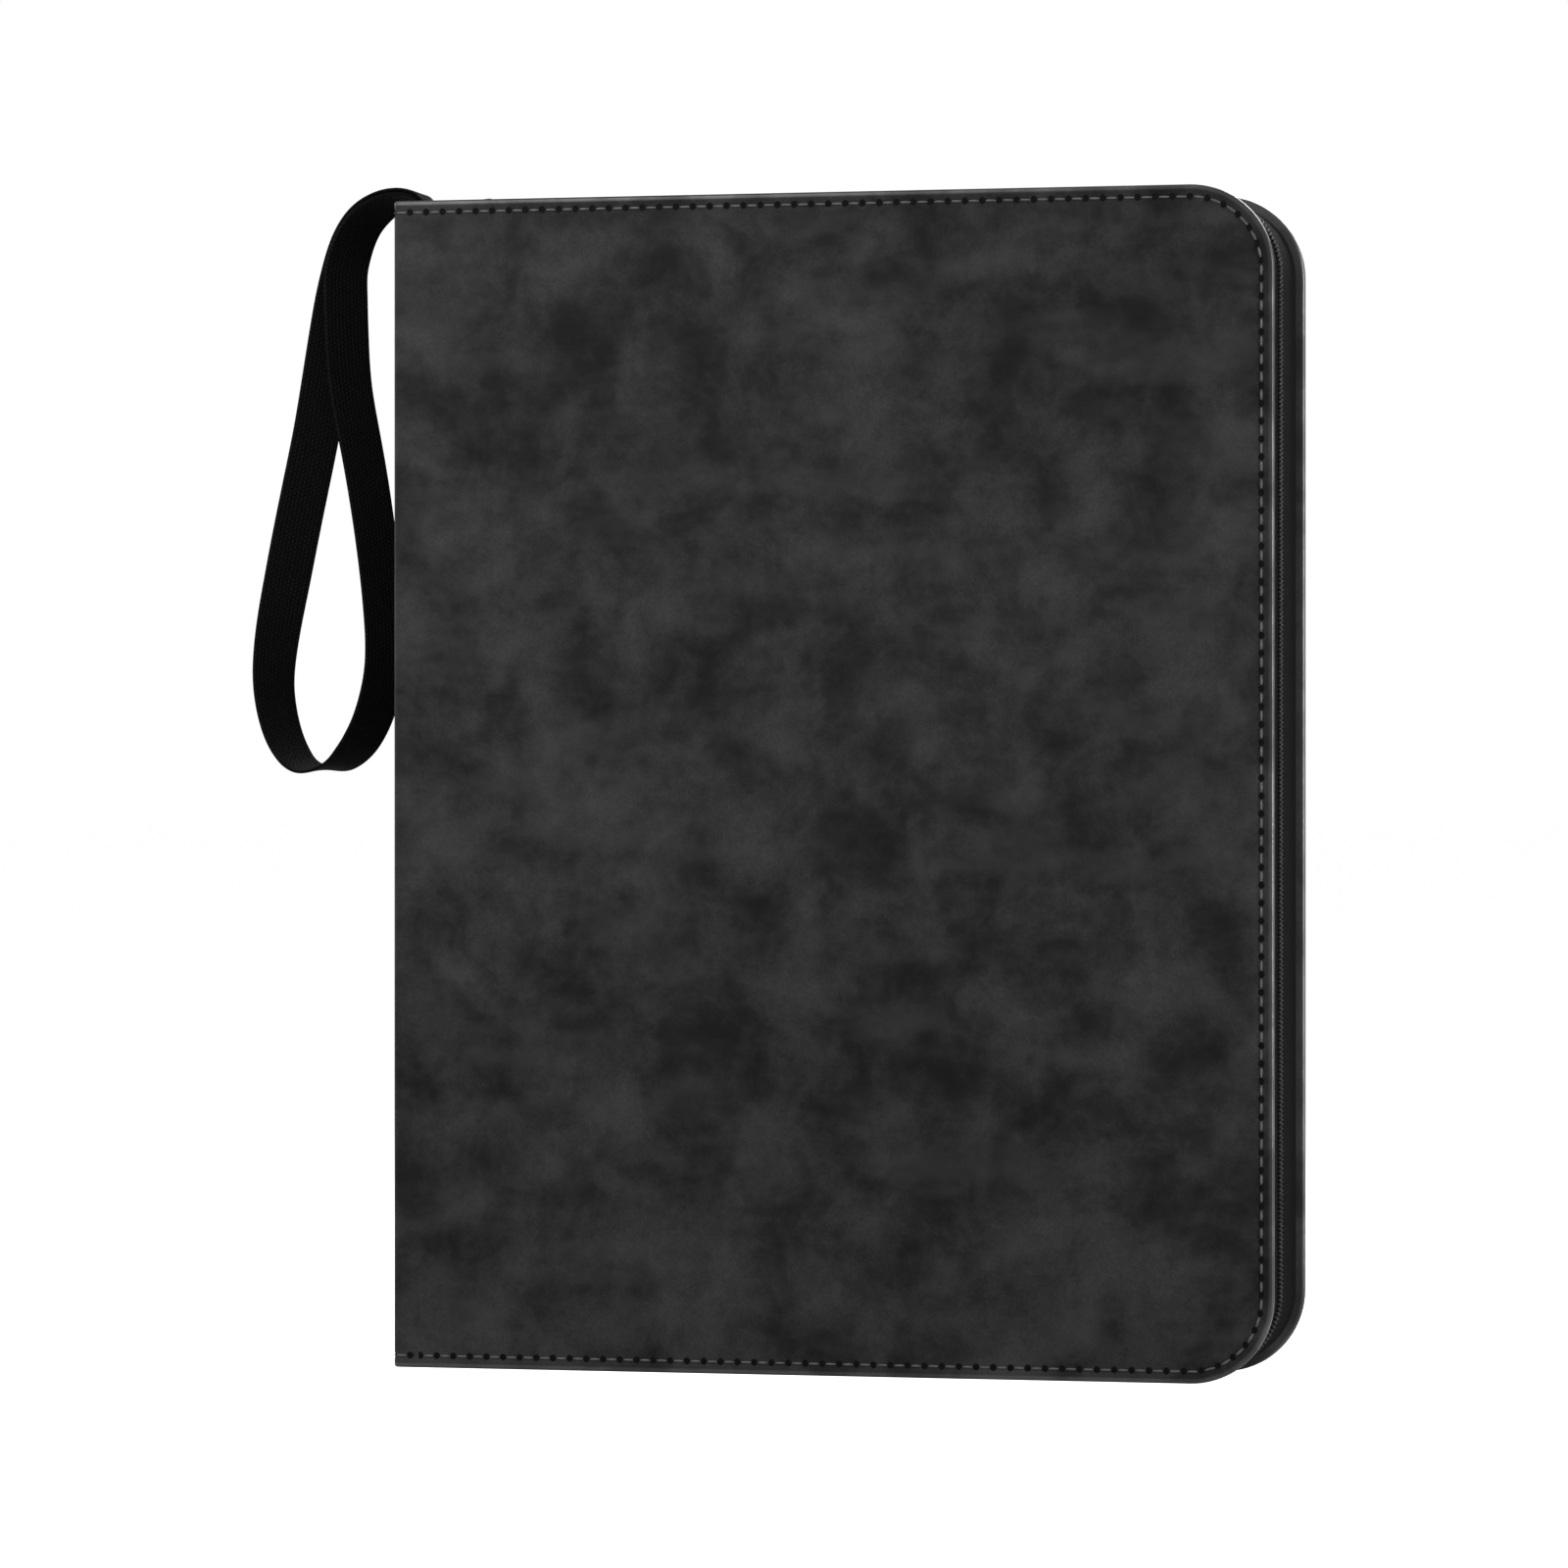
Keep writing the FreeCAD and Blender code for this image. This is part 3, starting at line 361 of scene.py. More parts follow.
def press_seam(bm):
    """Insets a pressed groove for the stitches into the cover's face. The seam's map runs along the
    groove in stitches; across it, it is 1 in the groove's middle, 0 inside and -1 at the edges."""
    layer = bm.loops.layers.uv.new("seam")
    rings = []
    border = SEAM_INSET - SEAM_HALF - EDGE_ROUNDING
    for width, depth in ((border, 0.0), (SEAM_HALF, -SEAM_DEPTH), (SEAM_HALF, SEAM_DEPTH)):
        face = facing(bm, OUTWARDS)
        ring = bmesh.ops.inset_region(bm, faces=[face], thickness=width, depth=depth, use_even_offset=True)
        rings.append(ring["faces"])
    outer, inner = ({vert for face in ring for vert in face.verts} for ring in rings[1:])
    flat = outer | inner | set(facing(bm, OUTWARDS).verts)
    groove = set(rings[1] + rings[2])
    for face in bm.faces:
        for loop in face.loops:
            if face in groove:
                along = distance_along(loop.vert.co.x, loop.vert.co.z)
                across = 1.0 if loop.vert in outer & inner else 0.0
                loop[layer].uv = (along / STITCH_PITCH, across)
            else:
                loop[layer].uv = (0.0, 0.0 if loop.vert in flat else -1.0)


def cut_off(bm, x):
    """Cuts the mesh at x, drops what lies to its left and closes the cut."""
    geometry = bm.verts[:] + bm.edges[:] + bm.faces[:]
    cut = bmesh.ops.bisect_plane(bm, geom=geometry, plane_co=(x, 0, 0), plane_no=(1, 0, 0), dist=1e-7,
                                 clear_inner=True)
    edges = [item for item in cut["geom_cut"] if isinstance(item, bmesh.types.BMEdge)]
    bmesh.ops.edgeloop_fill(bm, edges=[edge for edge in edges if edge.is_valid])


def cover_skin(side):
    """The wrapped sheet of one cover, from the hinge fold to the zip edge."""
    bm = bmesh.new()
    grow(bm, outline_face(bm), (0, RIM_DEPTH, 0))
    bmesh.ops.recalc_face_normals(bm, faces=bm.faces)
    rims = [edge for edge in bm.edges if len(edge.link_faces) == 2
            and any(len(face.verts) > 4 for face in edge.link_faces)]
    rounded_off(bm, rims, EDGE_ROUNDING, ROUNDING_STEPS)
    press_seam(bm)
    back = facing(bm, INWARDS)
    bmesh.ops.inset_region(bm, faces=[back], thickness=RIM_WIDTH - EDGE_ROUNDING, use_even_offset=True)
    back = facing(bm, INWARDS)
    grow(bm, [back], (0, SHEET - RIM_DEPTH, 0))
    bmesh.ops.delete(bm, geom=[back], context="FACES_ONLY")
    cut_off(bm, HINGE_X)
    if side == "rear":
        mirrored(bm)
    skin = finished(bm, f"{side}_cover_wrap", f"{side}_cover", suede)
    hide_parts(f"{side}_cover_skin")


for side in ("front", "rear"):
    cover_skin(side)

# ---------------------------------------------------------------- hinge folds and spine skin
# The same suede-look sheet runs on round the spine in one piece. With no board under it at the two
# folds it is soft there, so it bends as a cover opens. Its edges and seam match the covers' own.
BEND = 0.0016
FOLD_END = 0.019
SPINE_STITCHES = 10


def fold_section(bm):
    """The wrap's cross-section at the hinge line, with its two rounded edges and both grooves."""
    inner_y = front_y + SHEET
    marks = [(front_y, bottom_z)]
    for middle_z in (bottom_z + SEAM_INSET, top_z - SEAM_INSET):
        marks.append((front_y, middle_z - SEAM_HALF))
        marks.append((front_y + SEAM_DEPTH, middle_z))
        marks.append((front_y, middle_z + SEAM_HALF))
    marks += [(front_y, top_z), (inner_y, top_z), (inner_y, bottom_z)]
    verts = [bm.verts.new((HINGE_X, y, z)) for y, z in marks]
    bm.faces.new(verts)
    rounded_off(bm, [verts[0], verts[7]], EDGE_ROUNDING, ROUNDING_STEPS, "VERTICES")
    return bm.faces[:] + bm.edges[:] + bm.verts[:]


def swept(bm, geometry, shift, steps):
    """Carries a section's face on in a straight line, and gives the face that it ends with."""
    step = Vector(shift) / steps
    result = bmesh.ops.spin(bm, geom=geometry, cent=(0, 0, 0), axis=(0, 0, 1), dvec=step, angle=0,
                            steps=steps)
    return result["geom_last"]


def map_seam(bm, measure):
    """Maps a swept strip along its grooves and its edges, as the covers' own are mapped. The line
    where the sheet turns the corner is mapped as an edge, so it is glossy and painted lighter as a
    highlight."""
    layer = bm.loops.layers.uv.new("seam")
    near, far = SEAM_INSET - 1.5 * SEAM_HALF, SEAM_INSET + 1.5 * SEAM_HALF
    for face in bm.faces:
        insets = [min(vert.co.z - bottom_z, top_z - vert.co.z) for vert in face.verts]
        grooved = near < min(insets) and max(insets) < far
        for loop in face.loops:
            co = loop.vert.co
            inset = min(co.z - bottom_z, top_z - co.z)
            turning = spine_x < co.x < spine_x + BEND - 1e-6 and co.y < front_y + BEND - 1e-6
            across = 0.0
            if grooved:
                across = 1.0 if abs(inset - SEAM_INSET) < 1e-5 else 0.0
            # Edges, and the corner that the sheet turns, are marked -1: glossy and painted lighter as a
            # highlight.
            elif inset < 1.01 * EDGE_ROUNDING or (turning and min(insets) > SEAM_INSET):
                across = -1.0
            loop[layer].uv = (measure(co), across)


def fold_measure(co):
    """How many stitches along the fold a point lies, round the corner of the spine."""
    return ((co.x - spine_x) - (co.y - front_y)) / STITCH_PITCH


def hinge_fold(side):
    """The soft strip at one hinge, from the cover's board round the corner to the spine's board."""
    bm = bmesh.new()
    end = fold_section(bm)
    end = swept(bm, end, (spine_x + BEND - HINGE_X, 0, 0), 6)
    centre = (spine_x + BEND, front_y + BEND, 0)
    corner = bmesh.ops.spin(bm, geom=end, cent=centre, axis=(0, 0, -1), angle=math.pi / 2, steps=8)
    swept(bm, corner["geom_last"], (0, -FOLD_END - front_y - BEND, 0), 4)
    map_seam(bm, fold_measure)
    if side == "rear":
        mirrored(bm)
    fold = finished(bm, f"{side}_hinge_fold", None, suede)
    bend_at_hinge(fold)


def bend_at_hinge(piece):
    """Bakes a piece's place into its mesh. The piece lies at a hinge, from the edge of the spine's board to
    the edge of the cover's.
    """
    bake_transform(piece)


for side in ("front", "rear"):
    hinge_fold(side)

SPINE_FIRST = (FOLD_END + front_y) / STITCH_PITCH
SPINE_PITCH = 2 * FOLD_END / (SPINE_STITCHES + 2 * SPINE_FIRST)
spine_bm = bmesh.new()
spine_end = fold_section(spine_bm)
bmesh.ops.rotate(spine_bm, cent=(HINGE_X, front_y, 0), matrix=Matrix.Rotation(-math.pi / 2, 3, "Z"),
                 verts=spine_bm.verts)
bmesh.ops.translate(spine_bm, vec=(spine_x - HINGE_X, -FOLD_END - front_y, 0), verts=spine_bm.verts)
swept(spine_bm, spine_end, (0, 2 * FOLD_END, 0), 8)
map_seam(spine_bm, lambda co: SPINE_FIRST - (co.y + FOLD_END) / SPINE_PITCH)
spine_wrap = finished(spine_bm, "spine_wrap", "spine", suede)


def rounded_box(bm, low, high, rounding, segments=2):
    """Adds a box with rounded edges to the mesh."""
    low, high = Vector(low), Vector(high)
    size = high - low
    matrix = Matrix.Translation((low + high) / 2) @ Matrix.Diagonal((size.x, size.y, size.z, 1))
    cube = bmesh.ops.create_cube(bm, size=1.0, matrix=matrix)
    rounded_off(bm, edges_of(cube["verts"]), rounding, segments)


# The sheet is turned in over both ends of the spine's board. At the top it leaves a gap for the strap.
board_low, board_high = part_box("spine_board")
TURNED_EDGE = 0.006
TURNED_ROUNDING = 0.0005
TAIL_ROOM = 0.0078
turned_bm = bmesh.new()
turned_flaps = (
    (board_low.y, board_high.y, bottom_z, TURNED_EDGE),
    (board_low.y, -TAIL_ROOM, top_z - TURNED_EDGE, top_z),
    (TAIL_ROOM, board_high.y, top_z - TURNED_EDGE, top_z),
)
for low_y, high_y, low_z, high_z in turned_flaps:
    rounded_box(turned_bm, (spine_x + SHEET, low_y, low_z), (board_high.x, high_y, high_z), TURNED_ROUNDING)
turned_edges = finished(turned_bm, "spine_turned_edges", "spine", suede)
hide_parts("spine_skin")

# ---------------------------------------------------------------- stitches
# One row of thick polyester thread holds down the turned edge all the way round. Each stitch lies
# in the pressed groove and dives into a needle hole at both ends.
THREAD = 0.00060
STITCH_LENGTH = 0.0032
THREAD_LIFT = 0.00012
SEAM_ROWS = (top_z - SEAM_INSET, bottom_z + SEAM_INSET)
QUARTER_TURN = Matrix.Rotation(math.pi / 2, 4, "Z")
THREAD_DARK = (0.024, 0.024, 0.025, 1)
THREAD_LIGHT = (0.086, 0.086, 0.089, 1)


def thread_material():
    """Grey twisted thread."""
    material, tree, shader = material_of("thread", Roughness=0.5)
    place = object_place(tree)
    colour = mix_colour(tree, noise(tree, place, 900.0, 2.0), THREAD_DARK, THREAD_LIGHT)
    feed(shader, "Base Color", colour)
    twist = node(tree, "ShaderNodeTexWave", {"Vector": place, "Scale": 900.0, "Distortion": 1.0},
                 bands_direction="DIAGONAL")
    add_bump(tree, shader, twist.outputs["Fac"], 0.5, 0.0001)
    return material


thread = thread_material()


def add_stitch(bm, place):
    """One stitch as a slim spindle of thread. The place's X runs along the seam."""
    upright = place @ Matrix.Rotation(math.pi / 2, 4, "Y")
    spindle = Matrix.Diagonal((THREAD * 1.25, THREAD * 1.1, STITCH_LENGTH, 1))
    bmesh.ops.create_uvsphere(bm, u_segments=8, v_segments=6, radius=0.5, matrix=upright @ spindle)


for side in ("front", "rear"):
    bm = bmesh.new()
    row_length = edge_length(SEAM_INSET)
    count = math.floor(row_length / STITCH_PITCH)
    for index in range(1, count):
        distance = (index + 0.5) * STITCH_PITCH
        if distance > row_length - (HINGE_X - spine_x):
            break
        add_stitch(bm, edge_place(distance, SEAM_INSET, front_y + THREAD_LIFT))
    if side == "rear":
        mirrored(bm)
    row = finished(bm, f"{side}_cover_stitches", f"{side}_cover", thread)

    bm = bmesh.new()
    for height in SEAM_ROWS:
        across = Matrix.Translation((spine_x + STITCH_PITCH / 2, front_y + THREAD_LIFT, height))
        add_stitch(bm, across)
        along = Matrix.Translation((spine_x + THREAD_LIFT, front_y + STITCH_PITCH / 2, height))
        add_stitch(bm, along @ QUARTER_TURN)
    if side == "rear":
        mirrored(bm)
    row = finished(bm, f"{side}_fold_stitches", None, thread)
    bend_at_hinge(row)

bm = bmesh.new()
for height in SEAM_ROWS:
    for index in range(1, SPINE_STITCHES - 1):
        y = (index + 0.5 + SPINE_FIRST) * SPINE_PITCH - FOLD_END
        add_stitch(bm, Matrix.Translation((spine_x + THREAD_LIFT, y, height)) @ QUARTER_TURN)
spine_row = finished(bm, "spine_stitches", "spine", thread)

# ---------------------------------------------------------------- boards
# Stiff grey board stiffens the two covers and the spine. It is die-cut and glued inside the wrap, so
# only its edges show, at the hinge and round the rivets.


def finish_with(material, *names):
    """Puts a material on CAD nodes in place of the plain one that they come with."""
    for name in names:
        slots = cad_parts[name].data.materials
        slots.clear()
        slots.append(material)


BOARD_DARK = (0.11, 0.105, 0.095, 1)
BOARD_LIGHT = (0.24, 0.23, 0.21, 1)


def grey_board():
    """Pressed paper fibre with dark flecks."""
    material, tree, shader = material_of("grey_board", Roughness=0.9)
    place = object_place(tree)
    flat = node(tree, "ShaderNodeMapping", {"Vector": place, "Scale": (1, 3, 1)})
    fibre = noise(tree, flat.outputs[0], 700.0, 5.0)
    colour = mix_colour(tree, fibre, BOARD_DARK, BOARD_LIGHT)
    fleck = node(tree, "ShaderNodeTexVoronoi", {"Vector": place, "Scale": 260.0})
    dark = smooth_range(tree, fleck.outputs["Distance"], 0.05, 0.12, 0.55, 1.0)
    colour = mix_colour(tree, 1.0, colour, dark, blend="MULTIPLY")
    feed(shader, "Base Color", colour)
    add_bump(tree, shader, fibre, 0.6, 0.0002)
    return material


finish_with(grey_board(), "front_cover_board", "rear_cover_board", "spine_board")

# ---------------------------------------------------------------- linings
# Black microfibre cloth lines each cover and the spine, glued down over the turned edges. A strip of
# the same cloth crosses each hinge, loose enough to bend with it.


def plain_weave():
    """Threads crossing over and under: a height, and how much of a thread shows, both 0 to 1."""
    group, given, out = new_group("plain_weave", {"Vector": None, "Threads": 2000.0}, ("Height", "Thread"))
    inputs = {0: given.outputs["Vector"], 3: given.outputs["Threads"]}
    scaled = node(group, "ShaderNodeVectorMath", inputs, operation="SCALE")
    across, along, _ = node(group, "ShaderNodeSeparateXYZ", {0: scaled.outputs[0]}).outputs
    warp = maths(group, "SINE", maths(group, "MULTIPLY", across, math.pi))
    weft = maths(group, "SINE", maths(group, "MULTIPLY", along, math.pi))
    checker = maths(group, "MULTIPLY", warp, weft)
    rounded = maths(group, "MAXIMUM", maths(group, "ABSOLUTE", warp), maths(group, "ABSOLUTE", weft))
    height = maths(group, "MULTIPLY_ADD", checker, 0.25, maths(group, "MULTIPLY", rounded, 0.75))
    group.links.new(height, out.inputs["Height"])
    group.links.new(smooth_range(group, checker, -0.6, 0.6), out.inputs["Thread"])
    return group


weave = plain_weave()
CLOTH_DARK = (0.010, 0.010, 0.011, 1)
CLOTH_LIGHT = (0.028, 0.028, 0.030, 1)
CLOTH_THREADS = 1700.0


def flat_coordinates(tree, first, second):
    """Object coordinates with the two that lie in a piece's surface first."""
    place = node(tree, "ShaderNodeSeparateXYZ", {0: object_place(tree)})
    both = node(tree, "ShaderNodeCombineXYZ", {0: place.outputs[first], 1: place.outputs[second]})
    return both.outputs[0]


def lining_cloth(name, first, second):
    """Black woven cloth that lies in the plane of two axes: its weave, and a slow fade over it."""
    material, tree, shader = material_of(name, Roughness=0.85, Specular_IOR_Level=0.25)
    inputs = {"Vector": flat_coordinates(tree, first, second), "Threads": CLOTH_THREADS}
    cloth = node(tree, "ShaderNodeGroup", inputs, node_tree=weave)
    colour = mix_colour(tree, cloth.outputs["Thread"], CLOTH_DARK, CLOTH_LIGHT)
    fade = noise(tree, object_place(tree), 35.0, 3.0)
    shade = smooth_range(tree, fade, 0.3, 0.7, 0.75, 1.25)
    colour = mix_colour(tree, 1.0, colour, shade, blend="MULTIPLY")
    feed(shader, "Base Color", colour)
    add_bump(tree, shader, cloth.outputs["Height"], 0.8, 0.00008)
    return material


spine_lining = lining_cloth("spine_lining_cloth", "Y", "Z")
finish_with(lining_cloth("lining_cloth", "X", "Z"), "front_cover_lining", "rear_cover_lining")
finish_with(spine_lining, "spine_lining")

LINING_SHEET = 0.0003
lining_low, lining_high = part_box("front_cover_lining")
spine_lining_low, spine_lining_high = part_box("spine_lining")
# The strip's path across the hinge as x and y, from the spine's lining to the cover's.
GUTTER = [
    (spine_lining_high.x - 0.0003, spine_lining_low.y + 0.0001), (0.0009, -0.0181), (-0.0004, -0.0190),
    (-0.0007, -0.0205), (-0.0006, -0.0222), (0.0001, -0.0234), (0.0016, -0.0237), (0.0034, -0.0235),
    (0.0048, -0.0224), (lining_low.x + 0.0001, lining_high.y - 0.0001),
]


def gutter_lining(side):
    """The strip of lining along one hinge, drawn as its edge and swept up the spine's height."""
    bm = bmesh.new()
    low_z, high_z = spine_lining_low.z, spine_lining_high.z
    verts = [bm.verts.new((x, y, low_z)) for x, y in GUTTER]
    edges = [bm.edges.new(pair) for pair in zip(verts, verts[1:])]
    shifted(bm, bmesh.ops.extrude_edge_only(bm, edges=edges), (0, 0, high_z - low_z))
    bmesh.ops.recalc_face_normals(bm, faces=bm.faces)
    bmesh.ops.solidify(bm, geom=bm.faces[:], thickness=LINING_SHEET)
    if side == "rear":
        mirrored(bm)
    strip = finished(bm, f"{side}_gutter_lining", None, spine_lining)
    bend_at_hinge(strip)


for side in ("front", "rear"):
    gutter_lining(side)

# ---------------------------------------------------------------- zip tapes
# Two ribbed polyester tapes, one sewn to the turned edge of each cover, fill the depth between them
# round the three open sides.


RIB_PITCH = 0.0009
PICK_PITCH = 0.0011
PICK_LEAN = 0.0004
# Painted shade for the hollows of the weave and painted highlight for its tops.
TAPE_SHADED = (0.0010, 0.0010, 0.0011, 1)
TAPE_LIT = (0.0056, 0.0056, 0.0058, 1)


def ribbed_tape():
    """Ribs that run along the tape, crossed by slanting picks. The colour follows their height: painted
    shade in the hollows and a painted highlight on the tops.
    """
    material, tree, shader = material_of("zip_tape", Roughness=0.85, Specular_IOR_Level=0.03)
    x, y, z = node(tree, "ShaderNodeSeparateXYZ", {0: object_place(tree)}).outputs
    rib = maths(tree, "SINE", maths(tree, "MULTIPLY", y, 2 * math.pi / RIB_PITCH))
    run = maths(tree, "SUBTRACT", x, z)
    lean = maths(tree, "MULTIPLY_ADD", maths(tree, "ABSOLUTE", rib), PICK_LEAN, run)
    pick = maths(tree, "SINE", maths(tree, "MULTIPLY", lean, 2 * math.pi / PICK_PITCH))
    height = maths(tree, "MULTIPLY_ADD", pick, 0.35, maths(tree, "MULTIPLY", rib, 0.65))
    # Painted shade and highlight: darker in the hollows of the weave, lighter on its tops.
    relief_shade = smooth_range(tree, height, -0.8, 0.9)
    feed(shader, "Base Color", mix_colour(tree, relief_shade, TAPE_SHADED, TAPE_LIT))
    add_bump(tree, shader, height, 0.7, 0.0001)
    return material


finish_with(ribbed_tape(), "front_zip_tape", "rear_zip_tape")

# ---------------------------------------------------------------- zip coils
# Each row is a nylon coil sewn along the inner edge of its tape. The loops of one row lie between
# those of the other, which is what holds the zip shut. The front row starts clear of the slider.
COIL_PITCH = 0.0013
LOOP_THICK = 0.00056
LOOP_TALL = 0.0020
LOOP_MIDDLE = 0.0011
LOOP_REACH = 0.0004
LOOP_ROUNDING = 0.00020
ROW_GAP = 0.0001
NYLON_DARK = (0.0035, 0.0035, 0.0038, 1)
NYLON_LIGHT = (0.0130, 0.0130, 0.0136, 1)
front_coil_low, front_coil_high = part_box("front_zip_coil")
rear_coil_low, rear_coil_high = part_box("rear_zip_coil")
coil_middle = zip_x - rear_coil_high.x + LOOP_MIDDLE
zip_line = (front_coil_high.y + rear_coil_low.y) / 2


def nylon():
    """Black nylon, duller where it is worn."""
    material, tree, shader = material_of("nylon_coil", Specular_IOR_Level=0.15)
    wear = noise(tree, object_place(tree), 240.0, 3.0)
    feed(shader, "Base Color", mix_colour(tree, wear, NYLON_DARK, NYLON_LIGHT))
    feed(shader, "Roughness", smooth_range(tree, wear, 0.3, 0.7, 0.50, 0.66))
    return material


coil_nylon = nylon()


def coil_row(side, start_x, near, far, offset):
    """A row of loops round the three free edges, a pitch apart and starting past one place."""
    bm = bmesh.new()
    length = edge_length(coil_middle) - (rear_coil_low.x - spine_x)
    loop_size = Matrix.Diagonal((LOOP_THICK, far - near, LOOP_TALL, 1))
    loop = Matrix.Translation((0, (near + far) / 2, 0)) @ loop_size
    index = math.ceil((start_x - spine_x) / COIL_PITCH)
    while index * COIL_PITCH + offset + LOOP_THICK < length:
        place = edge_place(index * COIL_PITCH + offset + LOOP_THICK / 2, coil_middle, 0)
        bmesh.ops.create_cube(bm, size=1.0, matrix=place @ loop)
        index += 1
    rounded_off(bm, bm.edges[:], LOOP_ROUNDING, 1)
    row = finished(bm, f"{side}_coil_loops", f"{side}_cover", coil_nylon)
    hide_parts(f"{side}_zip_coil")


front_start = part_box("front_zip_stops")[1].x + ROW_GAP
coil_row("front", front_start, front_coil_low.y, zip_line + LOOP_REACH, COIL_PITCH / 2)
coil_row("rear", rear_coil_low.x, zip_line - LOOP_REACH, rear_coil_high.y, 0.0)

# ---------------------------------------------------------------- zip stops, slider and pull
# Pressed metal stops end both rows. The slider is a die-cast body of two plates on a post, black
# enamelled, and its flat pull is forked round the bridge and turns on a pin.
ENAMEL_DARK = (0.022, 0.022, 0.024, 1)
ENAMEL_RUBBED = (0.075, 0.075, 0.08, 1)
STOP_LENGTH = 0.0018
STOP_TALL = 0.0022
STOP_ROUNDING = 0.0004


def enamelled_metal():
    """Black enamel over cast metal, rubbed a little on its high spots."""
    material, tree, shader = material_of("black_enamel", Metallic=0.85)
    cloud = noise(tree, object_place(tree), 320.0, 4.0)
    rub = smooth_range(tree, cloud, 0.56, 0.72)
    feed(shader, "Base Color", mix_colour(tree, rub, ENAMEL_DARK, ENAMEL_RUBBED))
    feed(shader, "Roughness", smooth_range(tree, cloud, 0.3, 0.7, 0.26, 0.42))
    add_bump(tree, shader, cloud, 0.3, 0.00005)
    return material


enamel = enamelled_metal()
for side in ("front", "rear"):
    bm = bmesh.new()
    low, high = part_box(f"{side}_zip_stops")
    for start, foot in ((low.x, low.z), (high.x - STOP_LENGTH, high.z - STOP_TALL)):
        end = (start + STOP_LENGTH, high.y, foot + STOP_TALL)
        rounded_box(bm, (start, low.y, foot), end, STOP_ROUNDING)
    stops = finished(bm, f"{side}_pressed_stops", f"{side}_cover", enamel)
    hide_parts(f"{side}_zip_stops")

slider_low, slider_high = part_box("slider_body")
PLATE = 0.0010
PLATE_ROUNDING = 0.00042
CHANNEL = 0.0014
LIP = 0.0016
LIP_ROUNDING = 0.0003
SLOT = 0.0006
POST_FROM, POST_TO, POST_HALF = 0.0005, 0.0045, 0.0004
POST_SUNK = 0.0001
POST_ROUNDING = 0.0002
BRIDGE_HALF = 0.0012
BRIDGE_ROUNDING = 0.0003
BRIDGE_ARCH = (
    (-0.0030, 0.0), (-0.0024, 0.0011), (-0.0012, 0.0022), (0.0012, 0.0024), (0.0022, 0.0018), (0.0030, 0.0),
)
web_z = slider_low.z + PLATE + CHANNEL
zip_y = (slider_low.y + slider_high.y) / 2
bridge_x = (slider_low.x + slider_high.x) / 2
bridge_foot = web_z + CHANNEL + PLATE


def cast_slider():
    """Two plates with turned-in lips, a post between them and a bridge for the pull on top."""
    bm = bmesh.new()
    for sign in (-1, 1):
        outer = web_z + sign * (CHANNEL + PLATE)
        low_z, high_z = sorted((web_z + sign * CHANNEL, outer))
        rounded_box(bm, (slider_low.x, slider_low.y, low_z), (slider_high.x, slider_high.y, high_z),
                    PLATE_ROUNDING, 3)
        lip_z = sorted((web_z + sign * SLOT, outer - sign * PLATE / 2))
        for near, far in ((slider_low.y, slider_low.y + LIP), (slider_high.y - LIP, slider_high.y)):
            rounded_box(bm, (slider_low.x, near, lip_z[0]), (slider_high.x, far, lip_z[1]), LIP_ROUNDING)
    post_half = CHANNEL + POST_SUNK
    rounded_box(bm, (slider_low.x + POST_FROM, zip_y - POST_HALF, web_z - post_half),
                (slider_low.x + POST_TO, zip_y + POST_HALF, web_z + post_half), POST_ROUNDING)
    verts = [bm.verts.new((bridge_x + x, zip_y - BRIDGE_HALF, bridge_foot + z)) for x, z in BRIDGE_ARCH]
    moved = grow(bm, [bm.faces.new(verts)], (0, 2 * BRIDGE_HALF, 0))
    rounded_off(bm, edges_of(verts + moved), BRIDGE_ROUNDING, 2)
    return bm


slider = finished(cast_slider(), "cast_slider", "zip_slider", enamel)
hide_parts("slider_body")

pull_low, pull_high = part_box("zip_pull")
FORK_IN, FORK_OUT = BRIDGE_HALF + 0.0003, BRIDGE_HALF + 0.0015
FORK_BACK, CROTCH, NECK, SHOULDER, WAIST = 0.0008, 0.0040, 0.0050, 0.0085, 0.0230
TAPER = 0.0004
PULL_CORNER = 0.0028
PULL_ROUNDING = 0.00025
PANEL_BORDER, PANEL_WALL, PANEL_DEPTH = 0.0007, 0.0002, 0.00022
PIN_RADIUS = 0.0006
PIN_SHORT = 0.0001


